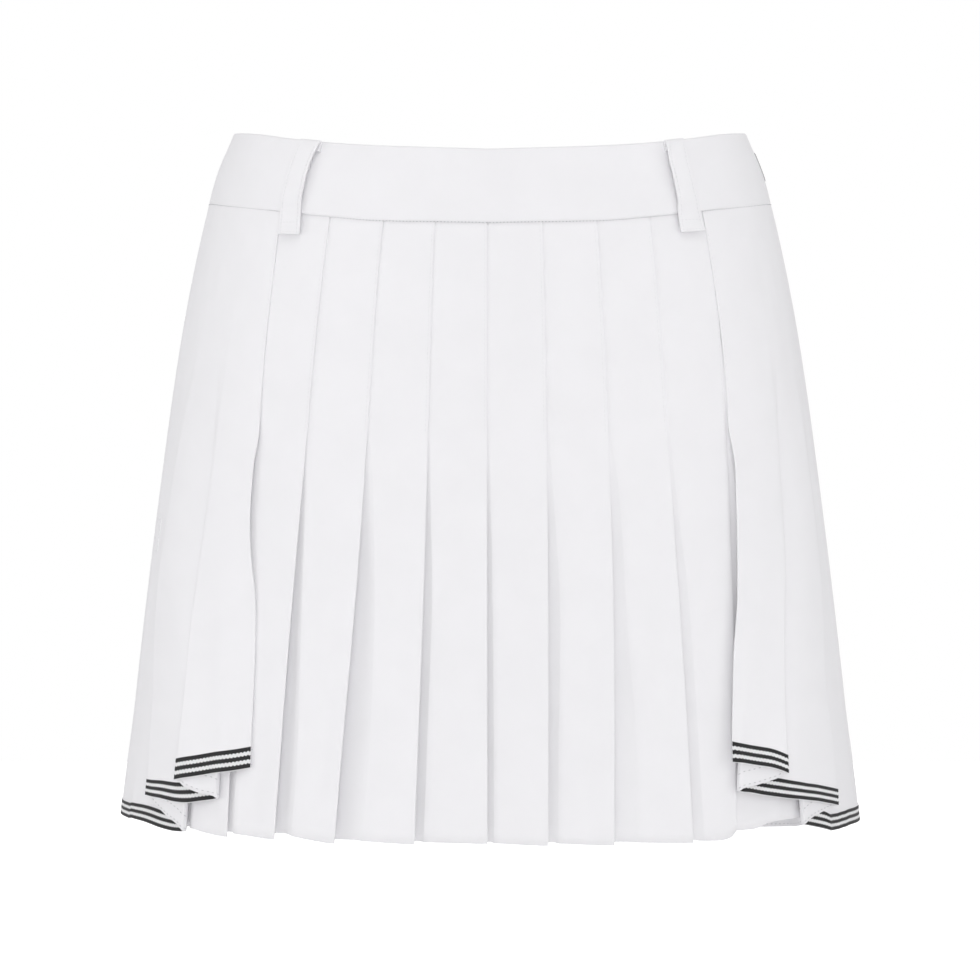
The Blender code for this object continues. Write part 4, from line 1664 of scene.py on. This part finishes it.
@dataclass
class Studio:
    """Camera, floor, soft lights and a white surround."""

    distance: float = 2.2
    eye: float = -0.1674
    lens: float = 140.7
    ambient: float = 0.53
    floor_height: float = -0.75
    floor_half: float = 6.0
    floor_glow: float = 0.95
    lamps: tuple[Lamp, ...] = (
        Lamp("front", (0.0, -3.0, -0.15), 0.6, 23.0),
        Lamp("left", (-2.6, -0.42, 0.15), 1.2, 11.6),
        Lamp("right", (2.6, -0.42, 0.15), 1.2, 10.2),
        Lamp("top", (0.0, -1.2, 2.5), 1.5, 16.7),
        Lamp("back", (0.0, 3.0, 0.2), 1.2, 32.0),
    )

    def camera(self) -> None:
        """Place the camera level with the middle of the skirt."""
        data = bpy.data.cameras.new("camera")
        data.lens = self.lens
        data.sensor_width = 36.0
        data.clip_end = 50.0
        view = linked("camera", data)
        view.location = (0.0, -self.distance, self.eye)
        view.rotation_euler = (math.radians(90.0), 0.0, 0.0)
        bpy.context.scene.camera = view

    def world(self) -> None:
        """Light from all round, with white where the camera sees past the skirt."""
        world = bpy.data.worlds.new("surround")
        bpy.context.scene.world = world
        world.use_nodes = True
        tree = Tree(world.node_tree)
        through = tree.add("ShaderNodeLightPath").outputs["Is Transmission Ray"]
        seen = tree.math("MAXIMUM", tree.seen(), through)
        level = tree.math("MULTIPLY_ADD", seen, 1.0 - self.ambient, self.ambient)
        surround = tree.add("ShaderNodeBackground", Color=WHITE, Strength=level)
        tree.add("ShaderNodeOutputWorld", Surface=surround.outputs[0])

    def floor(self) -> None:
        """Add the pale floor, which keeps the skirt's soft shadow."""
        half, height = self.floor_half, self.floor_height
        corners = [(-half, -half), (half, -half), (half, half), (-half, half)]
        mesh = bpy.data.meshes.new("floor")
        mesh.from_pydata([(x, y, height) for x, y in corners], [], [(0, 1, 2, 3)])
        material = bpy.data.materials.new("pale_floor")
        material.use_nodes = True
        tree = Tree(material.node_tree)
        matte = tree.add("ShaderNodeBsdfDiffuse", Color=(0.8, 0.8, 0.8, 1.0))
        strength = tree.math("MULTIPLY", tree.seen(), self.floor_glow)
        glow = tree.add("ShaderNodeEmission", Color=WHITE, Strength=strength)
        both = tree.add("ShaderNodeAddShader")
        for socket, shader in zip(both.inputs, (matte, glow)):
            tree.put(socket, shader.outputs[0])
        tree.add("ShaderNodeOutputMaterial", Surface=both.outputs[0])
        mesh.materials.append(material)
        linked("floor", mesh)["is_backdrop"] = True

    def build(self) -> None:
        """Set up the whole studio."""
        bpy.context.scene.view_settings.view_transform = "Standard"
        self.camera()
        self.world()
        self.floor()
        for lamp in self.lamps:
            lamp.place(np.array((0.0, 0.0, self.eye)))
        LOG.info("studio: %d lamps", len(self.lamps))


def seams_of(pieces: tuple[Sheet, ...]) -> list[Array]:
    """Return the stitching lines of several pieces."""
    return [line for piece in pieces for line in piece.stitch_lines()]


def main() -> None:
    """Build every piece of the skirt and the studio round it."""
    logging.basicConfig(level=logging.INFO, format="%(name)s: %(message)s")
    wardrobe = Wardrobe()
    front, back = PleatedFront(), BackPanel()
    overlays = (RIGHT_OVERLAY, LEFT_OVERLAY)
    bands = (
        Waistband(
            name="band_front", node="waistband_front", start=-89.96, end=89.96, flat=(0.425, 0.083)
        ),
        Waistband(
            name="band_back", node="waistband_back", start=90.04, end=269.96, flat=(0.415, 0.083)
        ),
    )
    ribbons = tuple(
        HemRibbon(name=f"hem_ribbon_{side}", node=f"ribbon_{side}", panel=panel, flat=(length, 0.0112))
        for side, panel, length in (
            ("right", RIGHT_OVERLAY, 0.3), ("left", LEFT_OVERLAY, 0.3), ("back", back, 0.62),
        )
    )
    patch = SidePatch(
        name="bare_patch", node="side_patch", angle=-78.0, half_width=5.3, top=-182.7, bottom=-202.8,
        out=0.35, wall=0.5, corner=1.0, flat=(0.011, 0.0205), hold=Hold.STRETCHED,
    )
    plate = BandPlate(
        name="bare_plate", node="band_plate", angle=96.0, half_width=9.0, top=26.5, bottom=10.0,
        out=1.4, wall=0.8, corner=1.5,
    )
    for piece in (front, *overlays, back, *bands, *ribbons, *LOOPS, patch, plate):
        piece.build(wardrobe)

    pressed = front.stitch_lines() + [overlay.edge_stitches() for overlay in overlays]
    # The waist and hem stitches use the darker thread, whose colour is painted shade.
    for name, lines, thread, *sizes in (
        ("waist", seams_of(bands), wardrobe.shade_painted_thread, 1.9, 0.95, 0.2),
        ("small", seams_of((*LOOPS, patch)), wardrobe.thread, 2.2, 1.7, 0.13),
        ("pleats", pressed, wardrobe.thread, 2.6, 2.1, 0.07),
        ("hems", seams_of((*overlays, back)), wardrobe.shade_painted_thread, 3.4, 1.7, 0.17),
    ):
        Stitching(f"stitching_{name}", lines, thread, *sizes).build()
    Studio().build()

    sizes = {"cad": np.array(CAD_BOX).tolist(), "visual": np.array(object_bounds()).tolist()}


if __name__ == "__main__":
    main()
